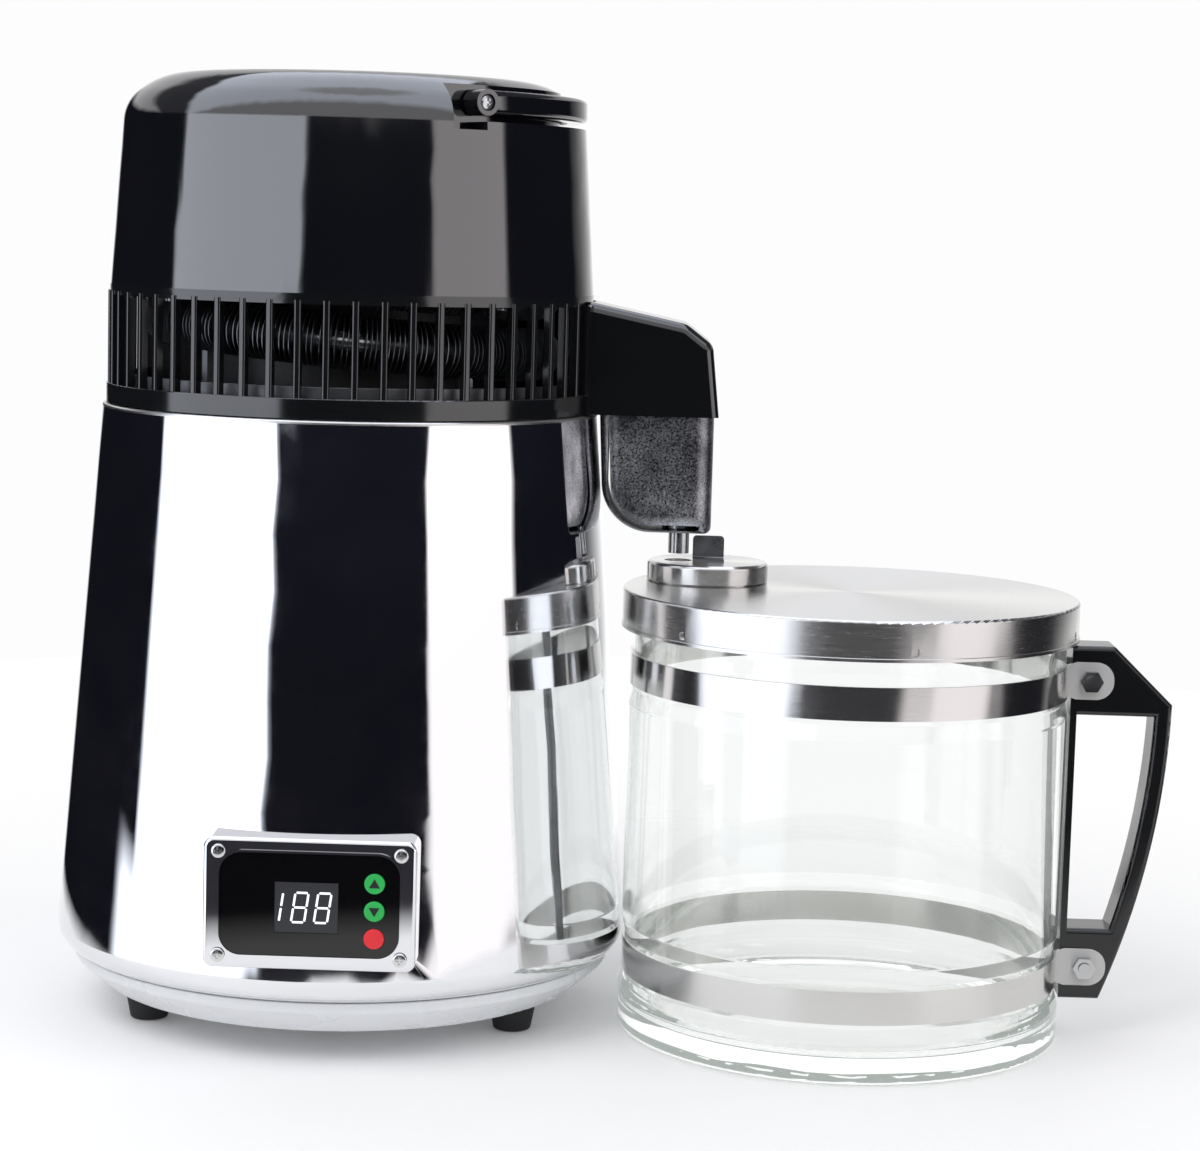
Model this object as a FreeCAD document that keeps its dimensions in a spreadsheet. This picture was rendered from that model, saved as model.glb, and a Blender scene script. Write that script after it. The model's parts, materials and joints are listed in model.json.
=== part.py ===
import FreeCAD, Part
import math
import os

import Sketcher

# Countertop water distiller: a steel boiler on a base pan, a lift-off head with its grille, condenser,
# fan and spout, and a glass carafe with its handle, lid and cap. Millimetres, +Z up, +X towards the
# carafe, -Y towards the control panel, origin on the worktop under the middle of the whole machine.

Vector = FreeCAD.Vector
Rotation = FreeCAD.Rotation
Placement = FreeCAD.Placement

# Each driving size is one cell of the sheet, in millimetres, degrees or a count.
SIZES = {
    # rubber feet
    "foot_height": 11.0,
    "foot_top_radius": 9.5,
    "foot_tip_radius": 7.4,
    "foot_inset": 13.0,
    "foot_angle": -30.0,
    "foot_count": 3,
    "foot_screw_radius": 1.7,
    "foot_screw_length": 15.0,
    "foot_screw_head_radius": 3.4,
    "foot_screw_head": 2.0,
    # base pan
    "pan_taper": 12.2,
    "pan_inset": 7.3,
    "pan_rise": 10.5,
    "pan_ridge": 3.7,
    "pan_shelf": 3.5,
    "pan_lip": 6.0,
    "pan_wall": 1.6,
    # outer shell
    "shell_foot_radius": 116.5,
    "shell_rim_radius": 99.5,
    "shell_height": 217.8,
    "shell_foot_round": 9.2,
    "shell_slack": 0.5,
    "shell_wall": 0.8,
    # boiler pot
    "pot_inset": 11.5,
    "pot_stand": 37.7,
    "pot_wall": 0.9,
    "pot_round": 12.0,
    "pot_flange": 1.4,
    # heater under the pot
    "spreader_inset": 16.0,
    "spreader_thickness": 4.0,
    "element_inset": 20.0,
    "element_tube": 4.2,
    "element_sweep": 325.0,
    "terminal_radius": 2.6,
    "terminal_length": 15.0,
    "stud_inset": 8.0,
    "stud_radius": 2.5,
    "stud_turn": 60.0,
    "stud_nut": 2.6,
    "nut_corner_radius": 4.6,
    "thermostat_radius": 8.5,
    "thermostat_height": 7.0,
    "fuse_radius": 2.2,
    "fuse_length": 15.0,
    "fuse_offset": 28.0,
    # control panel
    "panel_centre": 66.0,
    "panel_width": 79.5,
    "panel_height": 49.5,
    "panel_proud": 5.5,
    "panel_overrun": 2.0,
    "panel_wall": 2.2,
    "panel_corner": 4.0,
    "panel_edge_round": 1.6,
    "window_width": 67.0,
    "window_height": 38.6,
    "window_corner": 8.2,
    "window_thickness": 2.4,
    "bead_width": 0.9,
    "bead_height": 0.6,
    "display_width": 23.6,
    "display_height": 19.0,
    "display_shift": -1.1,
    "display_drop": -1.0,
    "standoff_length": 6.4,
    "standoff_radius": 2.2,
    "standoff_left": 27.0,
    "standoff_right": 13.5,
    "standoff_rise": 15.0,
    "board_width": 60.0,
    "board_height": 35.0,
    "board_thickness": 1.6,
    "button_radius": 3.85,
    "button_column": 24.2,
    "button_first": 8.8,
    "button_pitch": 10.45,
    "button_travel": 0.6,
    "button_proud": 0.7,
    "button_flange_radius": 4.4,
    "button_flange": 0.9,
    "button_stem_radius": 1.6,
    "switch_side": 6.0,
    "switch_height": 3.5,
    "plunger_height": 0.5,
    "panel_screw_across": 34.0,
    "panel_screw_up": 19.7,
    "screw_head_radius": 2.7,
    "screw_head": 1.4,
    "screw_radius": 1.5,
    "panel_screw_short": 1.0,
    "panel_boss_radius": 3.4,
    # power inlet at the back
    "inlet_centre": 66.0,
    "inlet_width": 64.0,
    "inlet_height": 46.0,
    "inlet_proud": 3.3,
    "inlet_wall": 2.4,
    "inlet_flange_width": 48.0,
    "inlet_flange_height": 23.0,
    "inlet_flange": 2.2,
    "inlet_body_width": 27.4,
    "inlet_body_height": 20.0,
    "inlet_body_depth": 20.0,
    "inlet_cavity_width": 24.0,
    "inlet_cavity_height": 16.4,
    "inlet_cavity_depth": 16.5,
    "inlet_screw_across": 20.0,
    "pin_width": 2.0,
    "pin_height": 4.0,
    "pin_spacing": 7.0,
    "pin_earth_rise": 4.0,
    "pin_recess": 2.5,
    "pin_tail": 7.0,
    # connector that powers the head
    "coupler_width": 21.0,
    "coupler_height": 19.0,
    "coupler_proud": 11.5,
    "coupler_plug_height": 18.0,
    "coupler_pin_spacing": 5.0,
    "coupler_pin_radius": 1.5,
    "coupler_pin_length": 12.0,
    "coupler_pin_inset": 5.5,
    # head plate and gasket
    "gasket_thickness": 2.5,
    "gasket_slack": 0.3,
    "gasket_width": 3.2,
    "plate_inset": 3.5,
    "plate_thickness": 1.0,
    "plate_lip_slack": 0.7,
    "plate_lip_depth": 8.0,
    "dam_inset": 5.8,
    "dam_height": 8.6,
    "plate_screw_gap": 2.5,
    "plate_screw_radius": 1.36,
    "plate_screw_angle": 45.0,
    # grille ring
    "ring_step": 1.3,
    "ring_skirt": 1.8,
    "ring_gap": 0.5,
    "ring_height": 7.6,
    "ring_width": 6.6,
    "grille_height": 35.0,
    "slat_count": 56,
    "slats_left_out": 5,
    "slat_width": 2.8,
    "slat_step": 0.5,
    "slat_depth": 3.5,
    "slat_overlap": 1.4,
    "band_step": 1.3,
    "band_width": 3.3,
    "band_height": 4.0,
    "lug_length": 8.0,
    "lug_thickness": 3.0,
    "lug_width": 8.0,
    "dome_screw_inset": 3.8,
    # dome
    "dome_step": 0.2,
    "dome_taper": 5.0,
    "dome_height": 83.5,
    "dome_wall": 2.5,
    "shoulder_width": 15.5,
    "shoulder_drop": 11.0,
    "shoulder_low_round": 16.0,
    "shoulder_top_round": 28.0,
    "dome_boss_radius": 4.2,
    "dome_boss_length": 22.0,
    "vent_count": 18,
    "vent_inner": 20.0,
    "vent_outer": 54.0,
    "vent_width": 3.2,
    # carry handle on the head
    "handle_angle": 38.0,
    "handle_pivot_drop": 10.8,
    "handle_step": 4.3,
    "handle_thickness": 9.6,
    "handle_height": 9.2,
    "handle_corner": 2.2,
    "handle_boss_radius": 5.0,
    "handle_gap": 1.2,
    "recess_floor_drop": 7.2,
    "recess_overrun": 9.0,
    "notch_drop": 10.4,
    "pivot_radius": 1.94,
    "pivot_head_radius": 2.9,
    "pivot_head": 1.2,
    "pivot_head_sink": 0.3,
    "pivot_length": 15.0,
    # spout arm
    "arm_width": 44.0,
    "arm_lip": 1.7,
    "arm_end_step": 1.4,
    "arm_end_height": 28.8,
    "arm_crest_back": 12.0,
    "arm_crest_height": 36.8,
    "arm_root_height": 44.8,
    "arm_wall": 2.0,
    "arm_edge_round": 4.0,
    "arm_root_thickness": 3.2,
    "arm_flange_angle": 31.0,
    "arm_flange": 1.6,
    "arm_tongue": 4.0,
    # spout nozzle
    "nozzle_width": 38.0,
    "nozzle_gap": 1.3,
    "nozzle_heel_step": 2.4,
    "nozzle_beyond_tube": 12.6,
    "nozzle_drop": 47.3,
    "nozzle_heel_round": 20.0,
    "nozzle_front_round": 8.0,
    "nozzle_neck": 17.0,
    "nozzle_wall": 1.3,
    "nozzle_front_wall": 4.6,
    "tube_back": 12.0,
    "tube_radius": 4.2,
    "tube_bore": 2.8,
    "tube_drop": 9.1,
    "tube_flange_radius": 7.0,
    "tube_flange": 1.4,
    "filter_back": 4.5,
    "filter_radius": 11.5,
    "filter_height": 31.0,
    # condenser
    "coil_inset": 22.7,
    "coil_tube": 4.0,
    "coil_bore": 3.2,
    "coil_pitch": 24.0,
    "coil_half_turns": 3,
    "coil_exit_rise": 19.6,
    "coil_turn_off": 12.0,
    "coil_riser_x": -45.0,
    "coil_outlet_step": 11.2,
    "coil_outlet_bend": 10.0,
    "coil_outlet_drop": 11.0,
    "fin_radius": 10.5,
    "fin_thickness": 0.6,
    "fins_per_half_turn": 30,
    "post_width": 5.0,
    "post_thickness": 3.0,
    "fitting_flange_radius": 11.0,
    "fitting_flange": 2.0,
    "fitting_radius": 6.5,
    "fitting_height": 9.0,
    "baffle_gap": 1.7,
    "baffle_wall": 1.2,
    "baffle_flange": 3.6,
    "baffle_drop": 7.5,
    # fan
    "motor_radius": 25.0,
    "motor_height": 21.0,
    "motor_nose_radius": 9.0,
    "motor_nose": 3.0,
    "shaft_radius": 2.0,
    "shaft_length": 33.0,
    "hub_radius": 14.0,
    "hub_height": 11.0,
    "blade_inset": 23.7,
    "blade_count": 5,
    "blade_chord": 26.0,
    "blade_rise": 12.0,
    "blade_thickness": 1.6,
    "fan_gap": 2.5,
    "bracket_thickness": 1.8,
    "bracket_margin": 5.0,
    "bracket_arm_width": 11.0,
    "bracket_arm_reach": 67.0,
    "bracket_screw_inset": 5.0,
    "bracket_boss_length": 15.5,
    # carafe
    "jar_gap": 0.1,
    "jar_y": -22.0,
    "jar_radius": 87.6,
    "jar_heel_step": 1.0,
    "jar_seat_step": 1.2,
    "spout_gap": 2.05,
    "jar_wall": 3.4,
    "jar_base": 9.0,
    "shoulder_gap": 5.2,
    "band_drop": 34.2,
    "lower_band_z": 23.4,
    "band_strip_height": 12.7,
    "band_strip": 0.9,
    "ear_height": 15.0,
    "upper_ear_inset": 0.2,
    "lower_ear_proud": 2.0,
    "ear_thickness": 1.0,
    "ear_round": 7.0,
    "upper_bolt_out": 7.5,
    "lower_bolt_out": 9.7,
    "bolt_radius": 2.45,
    "bolt_head_radius": 4.4,
    "bolt_head": 2.8,
    "bolt_nut": 3.6,
    # carafe handle
    "grip_width": 20.0,
    "grip_below_band": 7.0,
    "grip_above_band": 7.3,
    "grip_stand": 0.5,
    "grip_spine": 2.6,
    "grip_top_out": 16.9,
    "grip_crown_out": 40.5,
    "grip_crown_drop": 2.8,
    "grip_belly_out": 33.9,
    "grip_belly_drop": 14.25,
    "grip_foot_out": 16.5,
    "gap_top_drop": 4.9,
    "gap_crown_wall": 7.0,
    "gap_belly_wall": 6.2,
    "gap_belly_rise": 4.0,
    "gap_foot_run": 3.0,
    "gap_foot_rise": 21.6,
    "grip_round": 2.0,
    "grip_groove_width": 3.0,
    "grip_groove_depth": 1.6,
    # carafe lid and its cap
    "lid_overhang": 4.3,
    "lid_skirt": 15.3,
    "lid_wall": 0.8,
    "seal_thickness": 3.0,
    "seal_inset": 4.4,
    "seal_gap": 1.1,
    "dimple_count": 6,
    "dimple_angle": -78.0,
    "dimple_radius": 2.3,
    "dimple_depth": 1.6,
    "dimple_rise": 3.6,
    "cap_from_jar": 57.0,
    "cap_y": 2.0,
    "cap_radius": 24.6,
    "cap_height": 7.6,
    "cap_gap": 0.6,
    "cap_wall": 0.9,
    "cap_round": 1.6,
    "collar_radius": 23.0,
    "drip_hole": 5.6,
    "tab_left": -6.2,
    "tab_right": 6.5,
    "tab_height": 10.0,
    "tab_thickness": 1.0,
    "tab_foot": 7.0,
    # clearances
    "slip": 0.15,
    "running": 0.06,
    "thread": 0.05,
    "seat": 0.02,
}

doc = FreeCAD.newDocument("WaterDistiller")
sheet = doc.addObject("Spreadsheet::Sheet", "Sizes")
for row, (name, value) in enumerate(SIZES.items(), start=1):
    sheet.set("A%d" % row, name)
    sheet.set("B%d" % row, str(value))
    sheet.setAlias("B%d" % row, name)
doc.recompute()


class Size(float):
    """A number together with the formula that gives it from the sheet's cells."""

    def __new__(cls, number, formula):
        size = float.__new__(cls, number)
        size.formula = formula
        return size

    def __add__(self, other):
        return Size(float(self) + float(other), "(%s + %s)" % (self.formula, formula_of(other)))

    def __radd__(self, other):
        return Size(float(other) + float(self), "(%s + %s)" % (formula_of(other), self.formula))

    def __sub__(self, other):
        return Size(float(self) - float(other), "(%s - %s)" % (self.formula, formula_of(other)))

    def __rsub__(self, other):
        return Size(float(other) - float(self), "(%s - %s)" % (formula_of(other), self.formula))

    def __mul__(self, other):
        return Size(float(self) * float(other), "(%s * %s)" % (self.formula, formula_of(other)))

    def __rmul__(self, other):
        return self * other

    def __truediv__(self, other):
        return Size(float(self) / float(other), "(%s / %s)" % (self.formula, formula_of(other)))

    def __neg__(self):
        return Size(-float(self), "(-%s)" % self.formula)


def formula_of(value):
    return getattr(value, "formula", repr(float(value)))


def sine(angle):
    return Size(math.sin(math.radians(angle)), "sin(%s * 1 deg)" % formula_of(angle))


def cosine(angle):
    return Size(math.cos(math.radians(angle)), "cos(%s * 1 deg)" % formula_of(angle))


def square_root(value):
    return Size(math.sqrt(value), "sqrt(%s)" % formula_of(value))


def smaller(first, second):
    return Size(min(first, second), "min(%s; %s)" % (formula_of(first), formula_of(second)))


class Cells:
    """The sheet's cells by name."""

    def __getattr__(self, name):
        return Size(sheet.get(name), "Sizes.%s" % name)


S = Cells()

# Sizes that follow from the sheet's, one piece from the next, from the shell inwards.
S.pan_radius = S.shell_foot_radius - S.pan_inset
S.pan_floor_radius = S.pan_radius - S.pan_taper
S.pan_lip_radius = S.pan_radius - S.pan_shelf
S.shell_seat_radius = S.pan_lip_radius + S.shell_slack
S.foot_circle = S.pan_floor_radius - S.foot_inset
S.pot_radius = S.shell_rim_radius - S.pot_inset
S.spreader_radius = S.pot_radius - S.spreader_inset
S.element_ring = S.spreader_radius - S.element_inset
S.stud_circle = S.spreader_radius - S.stud_inset
S.stud_angle = S.foot_angle + S.stud_turn
S.gasket_inner = S.pot_radius + S.gasket_slack
S.gasket_outer = S.gasket_inner + S.gasket_width
S.plate_lip_radius = S.pot_radius - S.plate_lip_slack
S.plate_radius = S.shell_rim_radius - S.plate_inset
S.plate_screw_circle = S.gasket_outer + S.plate_screw_gap
S.dam_radius = S.plate_radius - S.dam_inset
S.ring_radius = S.shell_rim_radius - S.ring_step
S.ring_inner = S.ring_radius - S.ring_width
S.slat_radius = S.ring_radius - S.slat_step
S.band_radius = S.ring_radius - S.band_step
S.band_inner = S.band_radius - S.band_width
S.lug_inner = S.band_inner - S.lug_length
S.dome_screw_circle = S.lug_inner + S.dome_screw_inset
S.dome_radius = S.band_radius - S.dome_step
S.dome_shoulder_radius = S.dome_radius - S.dome_taper
S.handle_outer = S.dome_radius - S.handle_step
S.handle_inner = S.handle_outer - S.handle_thickness
S.recess_radius = S.handle_inner - S.handle_gap
S.coil_radius = S.dome_radius - S.coil_inset
S.blade_radius = S.dome_radius - S.blade_inset
S.bracket_radius = S.motor_radius + S.bracket_margin
S.bracket_screw_circle = S.bracket_arm_reach - S.bracket_screw_inset
S.coupler_reach = S.shell_rim_radius + S.coupler_proud
S.coupler_pin_reach = S.coupler_reach - S.coupler_pin_inset

# Heights above the worktop that several pieces share.
PAN_FLOOR = S.foot_height
PAN_SHOULDER = PAN_FLOOR + S.pan_rise + S.pan_ridge
SHELL_RIM = PAN_SHOULDER + S.shell_height
POT_TOP = SHELL_RIM + S.pot_flange
POT_FLOOR = PAN_SHOULDER + S.pot_stand
SPREADER_TOP = POT_FLOOR - S.pot_wall
SPREADER_FOOT = SPREADER_TOP - S.spreader_thickness
PLATE_FOOT = POT_TOP + S.gasket_thickness
PLATE_TOP = PLATE_FOOT + S.plate_thickness
RING_FOOT = POT_TOP + S.ring_gap
RING_TOP = RING_FOOT + S.ring_height
BAND_FOOT = RING_TOP + S.grille_height
DOME_FOOT = BAND_FOOT + S.band_height
DOME_TOP = DOME_FOOT + S.dome_height
PIVOT_Z = DOME_TOP - S.handle_pivot_drop
RECESS_FLOOR = PIVOT_Z - S.recess_floor_drop
ARM_FOOT = RING_FOOT - S.slip
NOZZLE_FOOT = ARM_FOOT - S.nozzle_drop
TUBE_FOOT = NOZZLE_FOOT - S.tube_drop
COIL_EXIT = PLATE_TOP + S.coil_exit_rise
COIL_ENTRY = COIL_EXIT + S.coil_half_turns * S.coil_pitch / 2
BRACKET_TOP = DOME_TOP - S.dome_wall - S.bracket_boss_length
BRACKET_FOOT = BRACKET_TOP - S.bracket_thickness
MOTOR_FOOT = BRACKET_FOOT - S.motor_height
HUB_TOP = MOTOR_FOOT - S.motor_nose - S.fan_gap

# The carafe stands under the spout: its height follows from the nozzle's, its rings from the jar's wall.
S.jar_seat_radius = S.jar_radius - S.jar_seat_step
S.jar_heel_radius = S.jar_radius + S.jar_heel_step
S.lid_radius = S.jar_seat_radius + S.lid_overhang
S.seal_inner = S.jar_seat_radius - S.seal_inset
S.seal_outer = S.lid_radius - S.lid_wall - S.seal_gap
CAP_TOP = NOZZLE_FOOT - S.spout_gap - S.tab_height
LID_TOP = CAP_TOP - S.cap_height - S.cap_gap
S.jar_height = LID_TOP - S.lid_wall - S.seal_thickness
S.jar_band_z = S.jar_height - S.band_drop
S.jar_shoulder_z = S.jar_band_z - S.shoulder_gap
S.grip_inner = S.jar_radius + S.grip_stand
S.grip_top_reach = S.grip_inner + S.grip_top_out
S.grip_crown_reach = S.grip_inner + S.grip_crown_out
S.grip_belly_reach = S.grip_inner + S.grip_belly_out
S.grip_foot_reach = S.grip_inner + S.grip_foot_out
S.grip_top_z = S.jar_band_z + S.band_strip_height + S.grip_above_band
S.grip_crown_z = S.jar_band_z - S.grip_crown_drop
S.grip_foot_z = S.lower_band_z - S.grip_below_band
S.gap_top_reach = S.grip_crown_reach - S.gap_crown_wall
S.gap_belly_reach = S.grip_belly_reach - S.gap_belly_wall
S.gap_foot_reach = S.grip_foot_reach + S.gap_foot_run
S.gap_top_z = S.grip_crown_z - S.gap_top_drop
S.gap_foot_z = S.lower_band_z + S.gap_foot_rise
S.grip_belly_z = (S.gap_foot_z + S.gap_top_z) / 2 - S.grip_belly_drop
S.gap_belly_z = S.grip_belly_z + S.gap_belly_rise
S.upper_ear_reach = S.grip_top_reach - S.upper_ear_inset
S.lower_ear_reach = S.grip_foot_reach + S.lower_ear_proud
S.upper_bolt_reach = S.grip_inner + S.upper_bolt_out
S.lower_bolt_reach = S.grip_inner + S.lower_bolt_out

# Distances from the boiler's axis to the carafe's, its cap's and the spout's.
S.jar_x = S.shell_foot_radius + S.jar_seat_radius + S.jar_gap
S.cap_x = S.jar_x - S.cap_from_jar
S.tube_x = S.cap_x - S.tube_back
S.filter_x = S.tube_x - S.filter_back
S.nozzle_left = S.shell_rim_radius + S.nozzle_gap
S.nozzle_heel = S.nozzle_left + S.nozzle_heel_step
S.nozzle_right = S.tube_x + S.nozzle_beyond_tube
S.coil_outlet_x = S.nozzle_left + S.coil_outlet_step
S.arm_end_reach = S.nozzle_right - S.arm_end_step
S.arm_reach = S.nozzle_right + S.arm_lip
S.arm_crest_reach = S.nozzle_right - S.arm_crest_back

# The round at the shell's foot is never wider than the ledge under it.
SHELL_SLOPE = (S.shell_foot_radius - S.shell_rim_radius) / S.shell_height
SHELL_LEDGE = S.shell_foot_radius - S.shell_seat_radius
LEDGE_ROUND = SHELL_LEDGE * (square_root(1.0 + SHELL_SLOPE * SHELL_SLOPE) - SHELL_SLOPE)
S.foot_round = smaller(S.shell_foot_round, LEDGE_ROUND * 0.99)

# Where the axes stand, so that the whole machine is centred: its ends are the rounded foot of the shell and
# the carafe's handle, its front and back are the panel and the inlet.
LEFT_END = S.shell_foot_radius - S.foot_round * SHELL_SLOPE
RIGHT_END = S.jar_x + S.grip_crown_reach

# The panel's and the inlet's housings stand in front of the shell's foot, and run back past its curve.
S.panel_reach = S.shell_foot_radius + S.panel_proud
S.inlet_reach = S.shell_foot_radius + S.inlet_proud


def housing_depth(reach, centre, width, height):
    """How far a flat housing runs back so that its upper corners go into the shell's cone."""
    radius = S.shell_foot_radius - SHELL_SLOPE * (centre + height / 2 - PAN_SHOULDER)
    return reach - radius + width * width / (radius * 8) + S.panel_overrun


S.panel_depth = housing_depth(S.panel_reach, S.panel_centre, S.panel_width, S.panel_height)
S.inlet_depth = housing_depth(S.inlet_reach, S.inlet_centre, S.inlet_width, S.inlet_height)
S.panel_screw_length = S.panel_depth - S.panel_screw_short
S.inlet_screw_length = S.inlet_depth + S.inlet_flange - S.panel_screw_short
BOILER = ((LEFT_END - RIGHT_END) / 2, (S.panel_reach - S.inlet_reach - S.inlet_flange) / 2, 0.0)


def beside(x, y):
    """A place at a distance from the boiler's axis."""
    return (BOILER[0] + x, BOILER[1] + y, 0.0)


JAR = beside(S.jar_x, S.jar_y)
CAP = beside(S.cap_x, S.cap_y)

nodes = []


def bind(thing, path, value):
    """Set one property and tie it to the sheet where its value comes from there."""
    if hasattr(value, "formula"):
        thing.setExpression(path, value.formula)
    elif "." in path:
        thing.setExpression(path, repr(float(value)))
    else:
        setattr(thing, path, value)


def stand(thing, place):
    for axis, value in zip("xyz", place):
        if hasattr(value, "formula"):
            thing.setExpression("Placement.Base." + axis, value.formula)


def new_body(label, place=BOILER):
    """A body of its own that is written out, or with no place one that only helps to make another."""
    body = doc.addObject("PartDesign::Body", label)
    body.Label = label
    if place is not None:
        stand(body, place)
        nodes.append(body)
    return body


def origin_of(body, role):
    return next(item for item in body.Origin.OriginFeatures if item.Role == role)


def new_sketch(body, plane, offset=0.0, turn=0.0):
    """A sketch on one of the body's own planes, moved along its normal and turned about the Z axis."""
    sketch = body.newObject("Sketcher::SketchObject", body.Label + "_sketch")
    sketch.AttachmentSupport = [(origin_of(body, plane), "")]
    sketch.MapMode = "FlatFace"
    upright = plane != "XY_Plane"
    axis = Vector(0, 1, 0) if upright else Vector(0, 0, 1)
    if turn:
        sketch.AttachmentOffset = Placement(Vector(), Rotation(axis, float(turn)))
        bind(sketch, "AttachmentOffset.Rotation.Angle", turn * 1.0 if hasattr(turn, "formula") else turn)
    if offset:
        if turn and upright:
            bind(sketch, "AttachmentOffset.Base.x", offset * sine(turn))
            bind(sketch, "AttachmentOffset.Base.z", offset * cosine(turn))
        else:
            bind(sketch, "AttachmentOffset.Base.z", offset)
    return sketch


def fix_point(sketch, geometry, end, x, y):
    """Hold a point of the sketch at x, y from its origin."""
    for kind, value, axis in (("DistanceX", x, -2), ("DistanceY", y, -1)):
        if not hasattr(value, "formula") and value == 0:
            sketch.addConstraint(Sketcher.Constraint("PointOnObject", geometry, end, axis))
            continue
        held = sketch.addConstraint(Sketcher.Constraint(kind, -1, 1, geometry, end, float(value)))
        sketch.setExpression("Constraints[%d]" % held, formula_of(value))


def rounded_corner(before, corner, after, radius):
    """Where a tangent arc of the radius starts, passes and ends at the corner."""
    back = (before - corner).normalize()
    ahead = (after - corner).normalize()
    half = back.getAngle(ahead) / 2
    reach = radius / math.tan(half)
    centre = corner + (back + ahead).normalize() * (radius / math.sin(half))
    middle = centre + (corner - centre).normalize() * radius
    return corner + back * reach, middle, corner + ahead * reach


def outline(sketch, corners):
    """A closed outline through (x, y) corners. A third number rounds that corner; ("via", x, y) between
    two corners bends the side between them through that point."""
    bends = {}
    points = []
    for item in corners:
        if item[0] == "via":
            bends[len(points) - 1] = item[1:]
        else:
            points.append(item)
    count = len(points)
    places = [Vector(float(item[0]), float(item[1]), 0) for item in points]
    cuts = []
    for index, item in enumerate(points):
        if len(item) > 2:
            following = places[(index + 1) % count]
            cuts.append(rounded_corner(places[index - 1], places[index], following, float(item[2])))
        else:
            cuts.append((places[index], None, places[index]))
    sides = []
    for index in range(count):
        start, end = cuts[index][2], cuts[(index + 1) % count][0]
        if index in bends:
            via = bends[index]
            through = Vector(float(via[0]), float(via[1]), 0)
            side = sketch.addGeometry(Part.Arc(start, through, end), False)
            mark = sketch.addGeometry(Part.Point(through), True)
            sketch.addConstraint(Sketcher.Constraint("PointOnObject", mark, 1, side))
            fix_point(sketch, mark, 1, via[0], via[1])
            first = 1 if (sketch.getPoint(side, 1) - start).Length < 1e-6 else 2
            sides.append((side, first, 3 - first))
        else:
            sides.append((sketch.addGeometry(Part.LineSegment(start, end), False), 1, 2))
    for index, item in enumerate(points):
        before, after = sides[index - 1], sides[index]
        if cuts[index][1] is None:
            sketch.addConstraint(Sketcher.Constraint("Coincident", before[0], before[2], after[0], after[1]))
            fix_point(sketch, after[0], after[1], item[0], item[1])
            continue
        start, middle, end = cuts[index]
        arc = sketch.addGeometry(Part.Arc(start, middle, end), False)
        first = 1 if (sketch.getPoint(arc, 1) - start).Length < 1e-6 else 2
        sketch.addConstraint(Sketcher.Constraint("Tangent", before[0], before[2], arc, first))
        sketch.addConstraint(Sketcher.Constraint("Tangent", after[0], after[1], arc, 3 - first))
        held = sketch.addConstraint(Sketcher.Constraint("Radius", arc, float(item[2])))
        sketch.setExpression("Constraints[%d]" % held, formula_of(item[2]))
        corner = sketch.addGeometry(Part.Point(places[index]), True)
        sketch.addConstraint(Sketcher.Constraint("PointOnObject", corner, 1, before[0]))
        sketch.addConstraint(Sketcher.Constraint("PointOnObject", corner, 1, after[0]))
        fix_point(sketch, corner, 1, item[0], item[1])
    return sketch


def circle(sketch, x, y, radius):
    ring = sketch.addGeometry(Part.Circle(Vector(float(x), float(y), 0), Vector(0, 0, 1), float(radius)), False)
    fix_point(sketch, ring, 3, x, y)
    held = sketch.addConstraint(Sketcher.Constraint("Radius", ring, float(radius)))
    sketch.setExpression("Constraints[%d]" % held, formula_of(radius))
    return sketch


def circle_ring(sketch, distance, angle, count, radius):
    """Circles spaced evenly round the sketch's origin, the first at the angle."""
    for number in range(int(count)):
        turn = angle + 360.0 * number / float(count)
        circle(sketch, distance * cosine(turn), distance * sine(turn), radius)
    return sketch


def box_corners(x, y, width, height, corner=None):
    """The corners of an upright rectangle centred at x, y."""
    around = [(x - width / 2, y - height / 2), (x + width / 2, y - height / 2)]
    around += [(x + width / 2, y + height / 2), (x - width / 2, y + height / 2)]
    return around if corner is None else [item + (corner,) for item in around]


def hexagon(x, y, radius):
    return [(x + radius * cosine(60.0 * side), y + radius * sine(60.0 * side)) for side in range(6)]


def extrude(body, kind, sketch, length, reverse=False, both=False):
    feature = body.newObject("PartDesign::" + kind, body.Label + "_" + kind.lower())
    feature.Profile = sketch
    bind(feature, "Length", length)
    feature.Reversed = reverse
    feature.Midplane = both
    return feature


def pad(body, sketch, length, reverse=False, both=False):
    return extrude(body, "Pad", sketch, length, reverse, both)


def pocket(body, sketch, length, reverse=False, both=False):
    return extrude(body, "Pocket", sketch, length, reverse, both)


def spin(body, kind, sketch, angle=360.0, axis="V_Axis"):
    feature = body.newObject("PartDesign::" + kind, body.Label + "_" + kind.lower())
    feature.Profile = sketch
    feature.ReferenceAxis = (sketch, [axis])
    bind(feature, "Angle", angle)
    feature.Midplane = angle != 360.0
    return feature


def revolve(body, sketch, angle=360.0, axis="V_Axis"):
    return spin(body, "Revolution", sketch, angle, axis)


def groove(body, sketch, angle=360.0, axis="V_Axis"):
    return spin(body, "Groove", sketch, angle, axis)


def around(body, features, count, angle=360.0):
    """Repeat features about the body's Z axis."""
    pattern = body.newObject("PartDesign::PolarPattern", body.Label + "_pattern")
    pattern.Originals = features
    pattern.Axis = (origin_of(body, "Z_Axis"), [""])
    bind(pattern, "Angle", angle)
    bind(pattern, "Occurrences", int(count) if not hasattr(count, "formula") else count)
    body.Tip = pattern
    return pattern


def mirrored(body, features, plane="XZ_Plane"):
    pattern = body.newObject("PartDesign::Mirrored", body.Label + "_mirror")
    pattern.Originals = features
    pattern.MirrorPlane = (origin_of(body, plane), [""])
    body.Tip = pattern
    return pattern


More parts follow.
